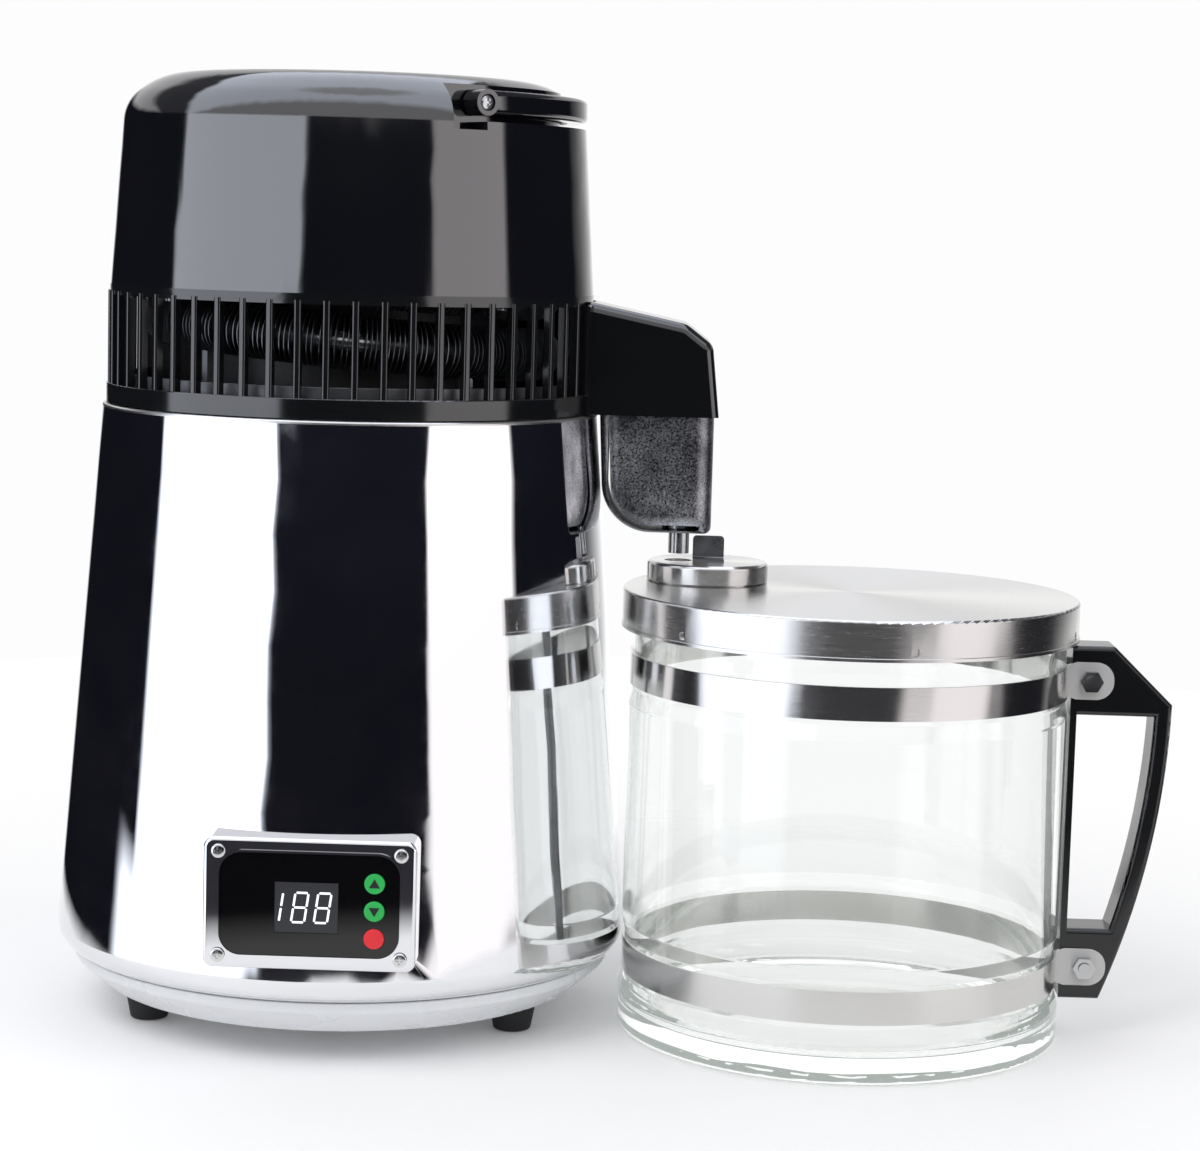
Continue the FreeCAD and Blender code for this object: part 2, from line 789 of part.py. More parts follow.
def round_edges(body, radius, wanted):
    """Round the edges of the body's last feature that the test picks."""
    doc.recompute()
    base = body.Tip
    names = ["Edge%d" % number for number, edge in enumerate(base.Shape.Edges, start=1) if wanted(edge)]
    feature = body.newObject("PartDesign::Fillet", body.Label + "_fillet")
    feature.Base = (base, names)
    bind(feature, "Radius", radius)
    return feature


def lies_at(edge, axis, value):
    """Whether the whole edge lies at one value of x, y or z."""
    box = edge.BoundBox
    low, high = {"x": (box.XMin, box.XMax), "y": (box.YMin, box.YMax), "z": (box.ZMin, box.ZMax)}[axis]
    return abs(low - float(value)) < 0.01 and abs(high - float(value)) < 0.01


def turned(label, corners, place=BOILER):
    """A piece turned about the upright axis of its place."""
    body = new_body(label, place)
    revolve(body, outline(new_sketch(body, "XZ_Plane"), corners))
    return body


def spindle(body, corners, distance, angle):
    """A turned feature about an upright axis that stands at a distance and angle from the body's own."""
    sketch = new_sketch(body, "XZ_Plane", 0.0, angle)
    axis = sketch.addGeometry(Part.LineSegment(Vector(float(distance), 0, 0), Vector(float(distance), 1, 0)), True)
    fix_point(sketch, axis, 1, distance, 0)
    sketch.addConstraint(Sketcher.Constraint("Vertical", axis))
    sketch.addConstraint(Sketcher.Constraint("DistanceY", axis, 1, axis, 2, 1.0))
    return outline(sketch, [(distance + item[0],) + item[1:] for item in corners])


def turned_set(label, corners, distance, angle, count, place=BOILER):
    """Like turned pieces, spaced evenly on a circle."""
    body = new_body(label, place)
    first = revolve(body, spindle(body, corners, distance, angle), 360.0, "Axis0")
    around(body, [first], count)
    return body


def feature(label, shape, place=BOILER):
    """A piece whose shape is made directly."""
    thing = doc.addObject("Part::Feature", label)
    thing.Label = label
    thing.Shape = shape
    stand(thing, place)
    nodes.append(thing)
    return thing


def shell_cone(body, clearance):
    """Cut away what lies inside the outer shell's cone, so that a housing sits on it."""
    corners = [
        (0, PAN_SHOULDER),
        (S.shell_foot_radius + clearance, PAN_SHOULDER),
        (S.shell_rim_radius + clearance, SHELL_RIM),
        (0, SHELL_RIM),
    ]
    return groove(body, outline(new_sketch(body, "XZ_Plane"), corners))


# Base: feet, pan, shell and pot

def rubber_feet():
    seat = S.foot_screw_head + 3.0
    turned_set("rubber_feet", [
        (S.foot_screw_radius + S.slip, seat),
        (S.foot_screw_head_radius + 0.6, seat),
        (S.foot_screw_head_radius + 0.6, 0),
        (S.foot_tip_radius, 0, 1.0),
        (S.foot_top_radius, S.foot_height),
        (S.foot_screw_radius + S.slip, S.foot_height),
    ], S.foot_circle, S.foot_angle, S.foot_count)
    turned_set("foot_screws", [
        (0, seat - S.foot_screw_head),
        (S.foot_screw_head_radius, seat - S.foot_screw_head, 0.8),
        (S.foot_screw_head_radius, seat),
        (S.foot_screw_radius, seat),
        (S.foot_screw_radius, seat + S.foot_screw_length),
        (0, seat + S.foot_screw_length),
    ], S.foot_circle, S.foot_angle, S.foot_count)


def base_pan():
    wall = S.pan_wall
    body = turned("base_pan", [
        (0, PAN_FLOOR),
        (S.pan_floor_radius, PAN_FLOOR, 4.0),
        (S.pan_radius, PAN_FLOOR + S.pan_rise, 2.6),
        (S.pan_radius, PAN_SHOULDER, 0.6),
        (S.pan_lip_radius, PAN_SHOULDER),
        (S.pan_lip_radius, PAN_SHOULDER + S.pan_lip),
        (S.pan_lip_radius - wall, PAN_SHOULDER + S.pan_lip),
        (S.pan_lip_radius - wall, PAN_SHOULDER - wall),
        (S.pan_radius - wall, PAN_SHOULDER - wall),
        (S.pan_radius - wall, PAN_FLOOR + S.pan_rise + wall / 2),
        (S.pan_floor_radius - wall / 2, PAN_FLOOR + wall),
        (0, PAN_FLOOR + wall),
    ])
    start = PAN_FLOOR + wall / 2
    screws = (S.foot_circle, S.foot_angle, S.foot_count)
    bosses = circle_ring(new_sketch(body, "XY_Plane", start), *screws, S.foot_screw_radius * 2.4)
    pad(body, bosses, S.foot_screw_length - 5.0 - wall / 2)
    holes = circle_ring(new_sketch(body, "XY_Plane", PAN_FLOOR - 1.0), *screws, S.foot_screw_radius + S.thread)
    pocket(body, holes, S.foot_screw_length + 2.0, True)
    studs = new_sketch(body, "XY_Plane", PAN_FLOOR - 1.0)
    circle_ring(studs, S.stud_circle, S.stud_angle, S.foot_count, S.stud_radius + S.slip)
    pocket(body, studs, S.pan_wall + 2.0, True)


def outer_shell():
    wall = S.shell_wall
    body = turned("outer_shell", [
        (S.shell_seat_radius, PAN_SHOULDER),
        (S.shell_foot_radius, PAN_SHOULDER, S.foot_round),
        (S.shell_rim_radius, SHELL_RIM),
        (S.shell_rim_radius - wall, SHELL_RIM),
        (S.shell_foot_radius - wall, PAN_SHOULDER + wall, S.foot_round - wall),
        (S.shell_seat_radius, PAN_SHOULDER + wall),
    ])
    reach = S.shell_foot_radius + 10.0
    panel = new_sketch(body, "XZ_Plane")
    outline(panel, box_corners(Size(0, "0"), S.panel_centre, S.board_width + 3.0, S.board_height + 3.0))
    pocket(body, panel, reach, True)
    screws = new_sketch(body, "XZ_Plane")
    for side in (-1, 1):
        for level in (-1, 1):
            where = S.panel_centre + level * S.panel_screw_up
            circle(screws, side * S.panel_screw_across, where, S.screw_radius + S.thread)
    pocket(body, screws, reach, True)
    inlet = new_sketch(body, "XZ_Plane")
    width, height = S.inlet_body_width + 3.0, S.inlet_body_height + 3.0
    outline(inlet, box_corners(Size(0, "0"), S.inlet_centre, width, height))
    pocket(body, inlet, reach)
    fixings = new_sketch(body, "XZ_Plane")
    for side in (-1, 1):
        circle(fixings, side * S.inlet_screw_across, S.inlet_centre, S.screw_radius + S.thread)
    pocket(body, fixings, reach)


def boiler_pot():
    wall = S.pot_wall
    turned("boiler_pot", [
        (0, POT_FLOOR - wall),
        (S.pot_radius + wall, POT_FLOOR - wall, S.pot_round + wall),
        (S.pot_radius + wall, SHELL_RIM),
        (S.shell_rim_radius, SHELL_RIM),
        (S.shell_rim_radius, POT_TOP, 0.9),
        (S.pot_radius, POT_TOP),
        (S.pot_radius, POT_FLOOR, S.pot_round),
        (0, POT_FLOOR),
    ])


def pot_fixings():
    foot = PAN_FLOOR - S.stud_nut - 1.2
    turned_set("pot_studs", [
        (0, foot),
        (S.stud_radius, foot, 0.6),
        (S.stud_radius, SPREADER_FOOT),
        (0, SPREADER_FOOT),
    ], S.stud_circle, S.stud_angle, S.foot_count)
    body = new_body("pan_nuts")
    sketch = new_sketch(body, "XY_Plane", PAN_FLOOR, S.stud_angle)
    outline(sketch, hexagon(S.stud_circle, 0.0, S.nut_corner_radius))
    circle(sketch, S.stud_circle, 0, S.stud_radius + S.thread)
    around(body, [pad(body, sketch, S.stud_nut, True)], S.foot_count)


# Heater: spreader plate, ring element, thermostat and fuse

def heat_spreader():
    turned("heat_spreader", [
        (0, SPREADER_FOOT),
        (S.spreader_radius, SPREADER_FOOT, 1.0),
        (S.spreader_radius, SPREADER_TOP),
        (0, SPREADER_TOP),
    ])


def heating_element():
    ring = doc.addObject("Part::Torus", "element_ring")
    bind(ring, "Radius1", S.element_ring)
    bind(ring, "Radius2", S.element_tube)
    bind(ring, "Angle3", S.element_sweep)
    bind(ring, "Placement.Base.z", SPREADER_FOOT - S.element_tube)
    pieces = [ring]
    for number, angle in enumerate((0.0, S.element_sweep)):
        pin = doc.addObject("Part::Cylinder", "element_terminal_%d" % number)
        bind(pin, "Radius", S.terminal_radius)
        bind(pin, "Height", S.terminal_length)
        bind(pin, "Placement.Base.x", S.element_ring * cosine(angle))
        bind(pin, "Placement.Base.y", S.element_ring * sine(angle))
        bind(pin, "Placement.Base.z", SPREADER_FOOT - S.element_tube - S.terminal_length)
        pieces.append(pin)
    whole = doc.addObject("Part::MultiFuse", "heating_element")
    whole.Shapes = pieces
    whole.Label = "heating_element"
    stand(whole, BOILER)
    nodes.append(whole)


def thermostat():
    foot = SPREADER_FOOT - S.thermostat_height
    body = turned("thermostat", [
        (0, foot),
        (S.thermostat_radius, foot, 1.0),
        (S.thermostat_radius, SPREADER_FOOT - 0.8),
        (S.thermostat_radius + 4.0, SPREADER_FOOT - 0.8),
        (S.thermostat_radius + 4.0, SPREADER_FOOT),
        (0, SPREADER_FOOT),
    ])
    tabs = new_sketch(body, "XY_Plane", foot + 0.5)
    for side in (-1, 1):
        outline(tabs, box_corners(side * S.thermostat_radius * 0.5, Size(0, "0"), S.shell_wall, S.pin_height + 2.3))
    pad(body, tabs, S.thermostat_height, True)


def thermal_fuse():
    lead = 0.6
    drop = SPREADER_FOOT - S.fuse_radius
    can = Part.makeCylinder(S.fuse_radius, S.fuse_length, Vector(S.fuse_offset, -S.fuse_length / 2, drop), Vector(0, 1, 0))
    length = S.fuse_length * 2
    wire = Part.makeCylinder(lead, length, Vector(S.fuse_offset, -length / 2, drop), Vector(0, 1, 0))
    feature("thermal_fuse", can.fuse(wire).removeSplitter())


# Control panel

def front_sketch(body, distance):
    """A sketch parallel to the panel's face, at a distance from the boiler's axis."""
    return new_sketch(body, "XZ_Plane", distance)


def panel_frame():
    body = new_body("panel_frame")
    middle = (Size(0, "0"), S.panel_centre)
    face = front_sketch(body, S.panel_reach)
    outline(face, box_corners(*middle, S.panel_width, S.panel_height, S.panel_corner))
    pad(body, face, S.panel_depth, True)
    round_edges(body, S.panel_edge_round, lambda edge: lies_at(edge, "y", -S.panel_reach))
    inner = front_sketch(body, S.panel_reach - S.window_thickness)
    width, height = S.panel_width - 2 * S.panel_wall, S.panel_height - 2 * S.panel_wall
    outline(inner, box_corners(*middle, width, height, S.panel_corner - S.panel_wall + 0.6))
    pocket(body, inner, S.panel_depth)
    posts = front_sketch(body, S.panel_reach - S.window_thickness / 2)
    holes = front_sketch(body, S.panel_reach + 1.0)
    for side in (-1, 1):
        for level in (-1, 1):
            spot = (side * S.panel_screw_across, S.panel_centre + level * S.panel_screw_up)
            circle(posts, *spot, S.panel_boss_radius)
            circle(holes, *spot, S.screw_radius + S.slip)
    pad(body, posts, S.panel_depth - S.window_thickness / 2, True)
    pocket(body, holes, S.panel_depth + 2.0)
    opening = front_sketch(body, S.panel_reach + 1.0)
    gap = 2 * S.slip
    outline(opening, box_corners(*middle, S.window_width + gap, S.window_height + gap, S.window_corner + S.slip))
    pocket(body, opening, S.window_thickness + 1.5)
    bead = front_sketch(body, S.panel_reach - 0.4)
    rim = gap + 2 * S.bead_width
    outline(bead, box_corners(*middle, S.window_width + gap, S.window_height + gap, S.window_corner + S.slip))
    outer = S.window_corner + S.slip + S.bead_width
    outline(bead, box_corners(*middle, S.window_width + rim, S.window_height + rim, outer))
    pad(body, bead, S.bead_height + 0.4)
    shell_cone(body, S.seat)


def button_spots():
    """Where the three buttons stand on the panel, from the top."""
    return [(S.button_column, S.panel_centre + S.button_first - number * S.button_pitch) for number in range(3)]


def standoff_spots():
    columns = (-S.standoff_left, S.standoff_right)
    return [(column, S.panel_centre + level * S.standoff_rise) for column in columns for level in (-1, 1)]


def panel_window():
    body = new_body("panel_window")
    face = front_sketch(body, S.panel_reach)
    outline(face, box_corners(Size(0, "0"), S.panel_centre, S.window_width, S.window_height, S.window_corner))
    for spot in button_spots():
        circle(face, *spot, S.button_radius + S.slip)
    width, height = S.display_width + 2 * S.slip, S.display_height + 2 * S.slip
    outline(face, box_corners(S.display_shift, S.panel_centre + S.display_drop, width, height))
    pad(body, face, S.window_thickness, True)
    posts = front_sketch(body, S.panel_reach - S.window_thickness + 0.4)
    pilots = front_sketch(body, S.panel_reach - S.window_thickness)
    for spot in standoff_spots():
        circle(posts, *spot, S.standoff_radius)
        circle(pilots, *spot, S.screw_radius * 0.7 + S.thread)
    pad(body, posts, S.standoff_length + 0.4, True)
    pocket(body, pilots, S.standoff_length + 1.0)


def display_module():
    body = new_body("display_module")
    face = front_sketch(body, S.panel_reach - 0.1)
    outline(face, box_corners(S.display_shift, S.panel_centre + S.display_drop, S.display_width, S.display_height))
    pad(body, face, S.window_thickness + S.standoff_length - 0.1, True)


BOARD_FRONT = S.panel_reach - S.window_thickness - S.standoff_length


def control_board():
    body = new_body("control_board")
    face = front_sketch(body, BOARD_FRONT)
    outline(face, box_corners(Size(0, "0"), S.panel_centre, S.board_width, S.board_height, 2.0))
    for spot in standoff_spots():
        circle(face, *spot, S.screw_radius * 0.7 + S.slip)
    pad(body, face, S.board_thickness, True)
    relay = front_sketch(body, BOARD_FRONT - S.board_thickness + 0.2)
    outline(relay, box_corners(-S.board_width * 0.2, S.panel_centre, S.switch_side * 2.4, S.switch_side * 3))
    pad(body, relay, S.switch_height * 3, True)


def board_screws():
    body = new_body("board_screws")
    heads = front_sketch(body, BOARD_FRONT - S.board_thickness)
    shanks = front_sketch(body, BOARD_FRONT - S.board_thickness - 0.2)
    for spot in standoff_spots():
        circle(heads, *spot, S.standoff_radius)
        circle(shanks, *spot, S.screw_radius * 0.7)
    pad(body, heads, S.screw_head, True)
    pad(body, shanks, S.board_thickness + S.standoff_length - 0.6)


def button_switches():
    body = new_body("button_switches")
    cases = front_sketch(body, BOARD_FRONT)
    plungers = front_sketch(body, BOARD_FRONT + S.switch_height - 0.2)
    for spot in button_spots():
        outline(cases, box_corners(*spot, S.switch_side, S.switch_side))
        circle(plungers, *spot, S.button_stem_radius)
    pad(body, cases, S.switch_height)
    pad(body, plungers, S.plunger_height + 0.2)


def buttons():
    """Three caps that stand proud of the window, each with a flange behind it and a stem to its switch."""
    back = S.panel_reach - S.window_thickness - 0.1
    tip = BOARD_FRONT + S.switch_height + S.plunger_height + S.button_travel + 0.1
    for name, spot in zip(("button_up", "button_down", "button_start"), button_spots()):
        body = new_body(name)
        front = S.panel_reach + S.button_proud
        pad(body, circle(front_sketch(body, front), *spot, S.button_radius), front - back, True)
        round_edges(body, 0.5, lambda edge: lies_at(edge, "y", -(S.panel_reach + S.button_proud)))
        pad(body, circle(front_sketch(body, back), *spot, S.button_flange_radius), S.button_flange, True)
        stem = circle(front_sketch(body, back - 0.2), *spot, S.button_stem_radius)
        pad(body, stem, back - 0.2 - tip, True)


def pan_head_screws(label, spots, face, length, to_the_back=True):
    """Cross-head screws whose heads sit on a face that stands at a distance in front of the axis, or behind."""
    body = new_body(label)
    way = 1 if to_the_back else -1
    heads = front_sketch(body, way * face)
    shanks = front_sketch(body, way * (face + 0.3))
    crosses = front_sketch(body, way * (face + S.screw_head + 0.1))
    arm, slot = S.screw_head_radius * 1.1, S.screw_head_radius * 0.28
    for spot in spots:
        circle(heads, *spot, S.screw_head_radius)
        circle(shanks, *spot, S.screw_radius)
        x, y = spot
        corners = [(arm, slot), (slot, slot), (slot, arm), (-slot, arm), (-slot, slot), (-arm, slot)]
        corners += [(-arm, -slot), (-slot, -slot), (-slot, -arm), (slot, -arm), (slot, -slot), (arm, -slot)]
        outline(crosses, [(x + a / 2, y + b / 2) for a, b in corners])
    pad(body, heads, S.screw_head, not to_the_back)
    round_edges(body, S.screw_head * 0.55, lambda edge: lies_at(edge, "y", -way * (face + S.screw_head)))
    pad(body, shanks, length + 0.3, to_the_back)
    pocket(body, crosses, S.screw_head * 0.6, not to_the_back)


def panel_screws():
    spots = [
        (side * S.panel_screw_across, S.panel_centre + level * S.panel_screw_up)
        for side in (-1, 1) for level in (-1, 1)
    ]
    pan_head_screws("panel_screws", spots, S.panel_reach, S.panel_screw_length)


# Power inlet

def rear_sketch(body, distance):
    return new_sketch(body, "XZ_Plane", -distance)


def inlet_housing():
    body = new_body("inlet_housing")
    middle = (Size(0, "0"), S.inlet_centre)
    face = rear_sketch(body, S.inlet_reach)
    outline(face, box_corners(*middle, S.inlet_width, S.inlet_height, S.panel_corner))
    pad(body, face, S.inlet_depth)
    round_edges(body, S.panel_edge_round, lambda edge: lies_at(edge, "y", S.inlet_reach))
    inner = rear_sketch(body, S.inlet_reach - S.inlet_wall)
    width, height = S.inlet_width - 2 * S.inlet_wall, S.inlet_height - 2 * S.inlet_wall
    outline(inner, box_corners(*middle, width, height))
    pocket(body, inner, S.inlet_depth, True)
    posts = rear_sketch(body, S.inlet_reach - S.inlet_wall / 2)
    holes = rear_sketch(body, S.inlet_reach + 1.0)
    for side in (-1, 1):
        circle(posts, side * S.inlet_screw_across, S.inlet_centre, S.panel_boss_radius)
        circle(holes, side * S.inlet_screw_across, S.inlet_centre, S.screw_radius + S.slip)
    pad(body, posts, S.inlet_depth - S.inlet_wall / 2)
    width, height = S.inlet_body_width + 2 * S.slip, S.inlet_body_height + 2 * S.slip
    outline(holes, box_corners(*middle, width, height))
    pocket(body, holes, S.inlet_depth + 2.0, True)
    shell_cone(body, S.seat)


def pin_spots():
    level = S.inlet_centre
    return [(-S.pin_spacing, level), (S.pin_spacing, level), (Size(0, "0"), level + S.pin_earth_rise)]


def inlet_socket():
    body = new_body("inlet_socket")
    middle = (Size(0, "0"), S.inlet_centre)
    flange = rear_sketch(body, S.inlet_reach + S.inlet_flange)
    outline(flange, box_corners(*middle, S.inlet_flange_width, S.inlet_flange_height, 3.0))
    pad(body, flange, S.inlet_flange)
    case = rear_sketch(body, S.inlet_reach + 0.5)
    outline(case, box_corners(*middle, S.inlet_body_width, S.inlet_body_height, 1.0))
    pad(body, case, S.inlet_body_depth + 0.5)
    cavity = rear_sketch(body, S.inlet_reach + S.inlet_flange + 0.1)
    side, top = S.inlet_cavity_width / 2, S.inlet_cavity_height / 2
    bevel = S.inlet_cavity_height * 0.3
    level = S.inlet_centre
    outline(cavity, [
        (-side, level - top), (side, level - top), (side, level + top - bevel),
        (side - bevel, level + top), (bevel - side, level + top), (-side, level + top - bevel),
    ])
    pocket(body, cavity, S.inlet_cavity_depth + 0.1, True)
    holes = rear_sketch(body, S.inlet_reach + S.inlet_flange + 0.1)
    for spot in pin_spots():
        outline(holes, box_corners(*spot, S.pin_width + 2 * S.thread, S.pin_height + 2 * S.thread))
    for way in (-1, 1):
        circle(holes, way * S.inlet_screw_across, S.inlet_centre, S.screw_radius + S.slip)
    pocket(body, holes, S.inlet_body_depth + S.inlet_flange + 1.0, True)


def inlet_pins():
    body = new_body("inlet_pins")
    start = S.inlet_reach + S.inlet_flange - S.pin_recess
    blades = rear_sketch(body, start)
    for spot in pin_spots():
        outline(blades, box_corners(*spot, S.pin_width, S.pin_height, 0.6))
    pad(body, blades, S.inlet_body_depth + S.inlet_flange - S.pin_recess + S.pin_tail)


def inlet_screws():
    spots = [(side * S.inlet_screw_across, S.inlet_centre) for side in (-1, 1)]
    pan_head_screws("inlet_screws", spots, S.inlet_reach + S.inlet_flange, S.inlet_screw_length, False)


# Connector between the base and the head

def coupler():
    """A socket on the shell's back and a plug on the grille ring whose pins drop into it."""
    socket = new_body("coupler_socket")
    face = rear_sketch(socket, S.coupler_reach)
    foot = SHELL_RIM - S.coupler_height
    outline(face, box_corners(Size(0, "0"), foot + S.coupler_height / 2, S.coupler_width, S.coupler_height, 2.0))
    pad(socket, face, S.coupler_reach - S.pot_radius)
    shell_cone(socket, S.seat)
    holes = new_sketch(socket, "XY_Plane", SHELL_RIM + 0.5)
    for side in (-1, 1):
        circle(holes, side * S.coupler_pin_spacing, S.coupler_pin_reach, S.coupler_pin_radius + 0.3)
    pocket(socket, holes, S.coupler_pin_length + 2.0)
    foot = SHELL_RIM + 0.4
    plug = new_body("coupler_plug")
    face = rear_sketch(plug, S.coupler_reach)
    height = S.coupler_plug_height
    outline(face, box_corners(Size(0, "0"), foot + height / 2, S.coupler_width, height, 2.0))
    pad(plug, face, S.coupler_reach - S.pot_radius)
    outer, inner = S.shell_rim_radius + 0.4, S.ring_radius + S.seat
    groove(plug, outline(new_sketch(plug, "XZ_Plane"), [
        (0, SHELL_RIM), (outer, SHELL_RIM), (outer, RING_FOOT), (inner, RING_FOOT),
        (inner, foot + height + 1.0), (0, foot + height + 1.0),
    ]))
    seats = new_sketch(plug, "XY_Plane", foot - 0.1)
    pins = new_body("coupler_pins")
    rods = new_sketch(pins, "XY_Plane", foot + 6.0)
    for side in (-1, 1):
        circle(seats, side * S.coupler_pin_spacing, S.coupler_pin_reach, S.coupler_pin_radius + S.thread)
        circle(rods, side * S.coupler_pin_spacing, S.coupler_pin_reach, S.coupler_pin_radius)
    pocket(plug, seats, 6.2, True)
    pad(pins, rods, S.coupler_pin_length + 6.0, True)
    round_edges(pins, 0.7, lambda edge: lies_at(edge, "z", foot - S.coupler_pin_length))


# Head: plate, gasket and grille ring

def head_plate():
    body = turned("head_plate", [
        (0, PLATE_FOOT),
        (S.plate_lip_radius - S.plate_thickness, PLATE_FOOT),
        (S.plate_lip_radius - S.plate_thickness, PLATE_FOOT - S.plate_lip_depth),
        (S.plate_lip_radius, PLATE_FOOT - S.plate_lip_depth),
        (S.plate_lip_radius, PLATE_FOOT),
        (S.plate_radius, PLATE_FOOT),
        (S.plate_radius, PLATE_TOP),
        (S.dam_radius, PLATE_TOP),
        (S.dam_radius, PLATE_TOP + S.dam_height, 0.4),
        (S.dam_radius - S.plate_thickness, PLATE_TOP + S.dam_height, 0.4),
        (S.dam_radius - S.plate_thickness, PLATE_TOP),
        (0, PLATE_TOP),
    ])
    holes = new_sketch(body, "XY_Plane", PLATE_FOOT - 1.0)
    circle_ring(holes, S.plate_screw_circle, S.plate_screw_angle, 4, S.plate_screw_radius + S.slip)
    circle(holes, S.coil_riser_x, S.coil_turn_off, S.coil_bore)
    pocket(body, holes, S.plate_thickness + 2.0, True)
    turned("head_gasket", [
        (S.gasket_inner, POT_TOP),
        (S.gasket_outer, POT_TOP),
        (S.gasket_outer, PLATE_FOOT),
        (S.gasket_inner, PLATE_FOOT),
    ])


def plate_screws():
    """Short screws up through the plate into the grille ring's ledge, their flat heads outside the gasket."""
    radius = S.plate_screw_radius
    turned_set("plate_screws", [
        (0, PLATE_FOOT - 0.8),
        (radius + 0.9, PLATE_FOOT - 0.8),
        (radius + 0.9, PLATE_FOOT),
        (radius, PLATE_FOOT),
        (radius, PLATE_TOP + 3.6),
        (0, PLATE_TOP + 3.6),
    ], S.plate_screw_circle, S.plate_screw_angle, 4)


def grille_slats():
    """Upright slats all round but for the stretch that the spout's arm covers."""
    low = RING_TOP - 0.5
    height = S.grille_height + S.slat_overlap + 0.5
    inner = S.slat_radius - S.slat_depth
    slat = Part.makeBox(S.slat_depth, S.slat_width, height, Vector(inner, -S.slat_width / 2, low))
    outside = [edge for edge in slat.Edges if lies_at(edge, "x", S.slat_radius) and edge.BoundBox.ZLength > 1.0]
    slat = slat.makeFillet(0.9, outside)
    pitch = 360.0 / S.slat_count
    slats = []
    for number in range(int(S.slat_count - S.slats_left_out)):
        copy = slat.copy()
        copy.rotate(Vector(), Vector(0, 0, 1), (number + (S.slats_left_out + 1) / 2) * pitch)
        slats.append(copy)
    return Part.makeCompound(slats)


def grille_ring():
    """A moulded cage: a skirt with a ledge below, a band with screw lugs above and slats between them."""
    body = turned("grille_frame", [
        (S.ring_inner, PLATE_TOP),
        (S.ring_radius - S.ring_skirt, PLATE_TOP),
        (S.ring_radius - S.ring_skirt, RING_FOOT),
        (S.ring_radius, RING_FOOT),
        (S.ring_radius, RING_TOP, (S.ring_radius - S.slat_radius) * 0.9),
        (S.ring_inner, RING_TOP),
    ], None)
    revolve(body, outline(new_sketch(body, "XZ_Plane"), [
        (S.band_inner, BAND_FOOT),
        (S.band_radius, BAND_FOOT),
        (S.band_radius, DOME_FOOT),
        (S.band_inner, DOME_FOOT),
    ]))
    lug = new_sketch(body, "XY_Plane", BAND_FOOT, S.plate_screw_angle)
    length = S.band_inner + 1.0 - S.lug_inner
    outline(lug, box_corners(S.lug_inner + length / 2, Size(0, "0"), length, S.lug_width))
    around(body, [pad(body, lug, S.lug_thickness)], 4)
    holes = new_sketch(body, "XY_Plane", BAND_FOOT - 1.0)
    circle_ring(holes, S.dome_screw_circle, S.plate_screw_angle, 4, S.screw_radius + S.slip)
    pocket(body, holes, S.lug_thickness + 2.0, True)
    threads = new_sketch(body, "XY_Plane", PLATE_TOP - 1.0)
    circle_ring(threads, S.plate_screw_circle, S.plate_screw_angle, 4, S.plate_screw_radius + S.thread)
    pocket(body, threads, 4.8, True)
    slats = doc.addObject("Part::Feature", "grille_slats")
    slats.Shape = grille_slats()
    whole = doc.addObject("Part::MultiFuse", "grille_ring")
    whole.Label = "grille_ring"
    whole.Shapes = [body, slats]
    stand(whole, BOILER)
    nodes.append(whole)


def dome_screws():
    turned_set("dome_screws", [
        (0, BAND_FOOT - S.screw_head),
        (S.screw_head_radius, BAND_FOOT - S.screw_head, 0.6),
        (S.screw_head_radius, BAND_FOOT),
        (S.screw_radius, BAND_FOOT),
        (S.screw_radius, BAND_FOOT + S.lug_thickness + 10.0),
        (0, BAND_FOOT + S.lug_thickness + 10.0),
    ], S.dome_screw_circle, S.plate_screw_angle, 4)


# Head: dome and carry handle

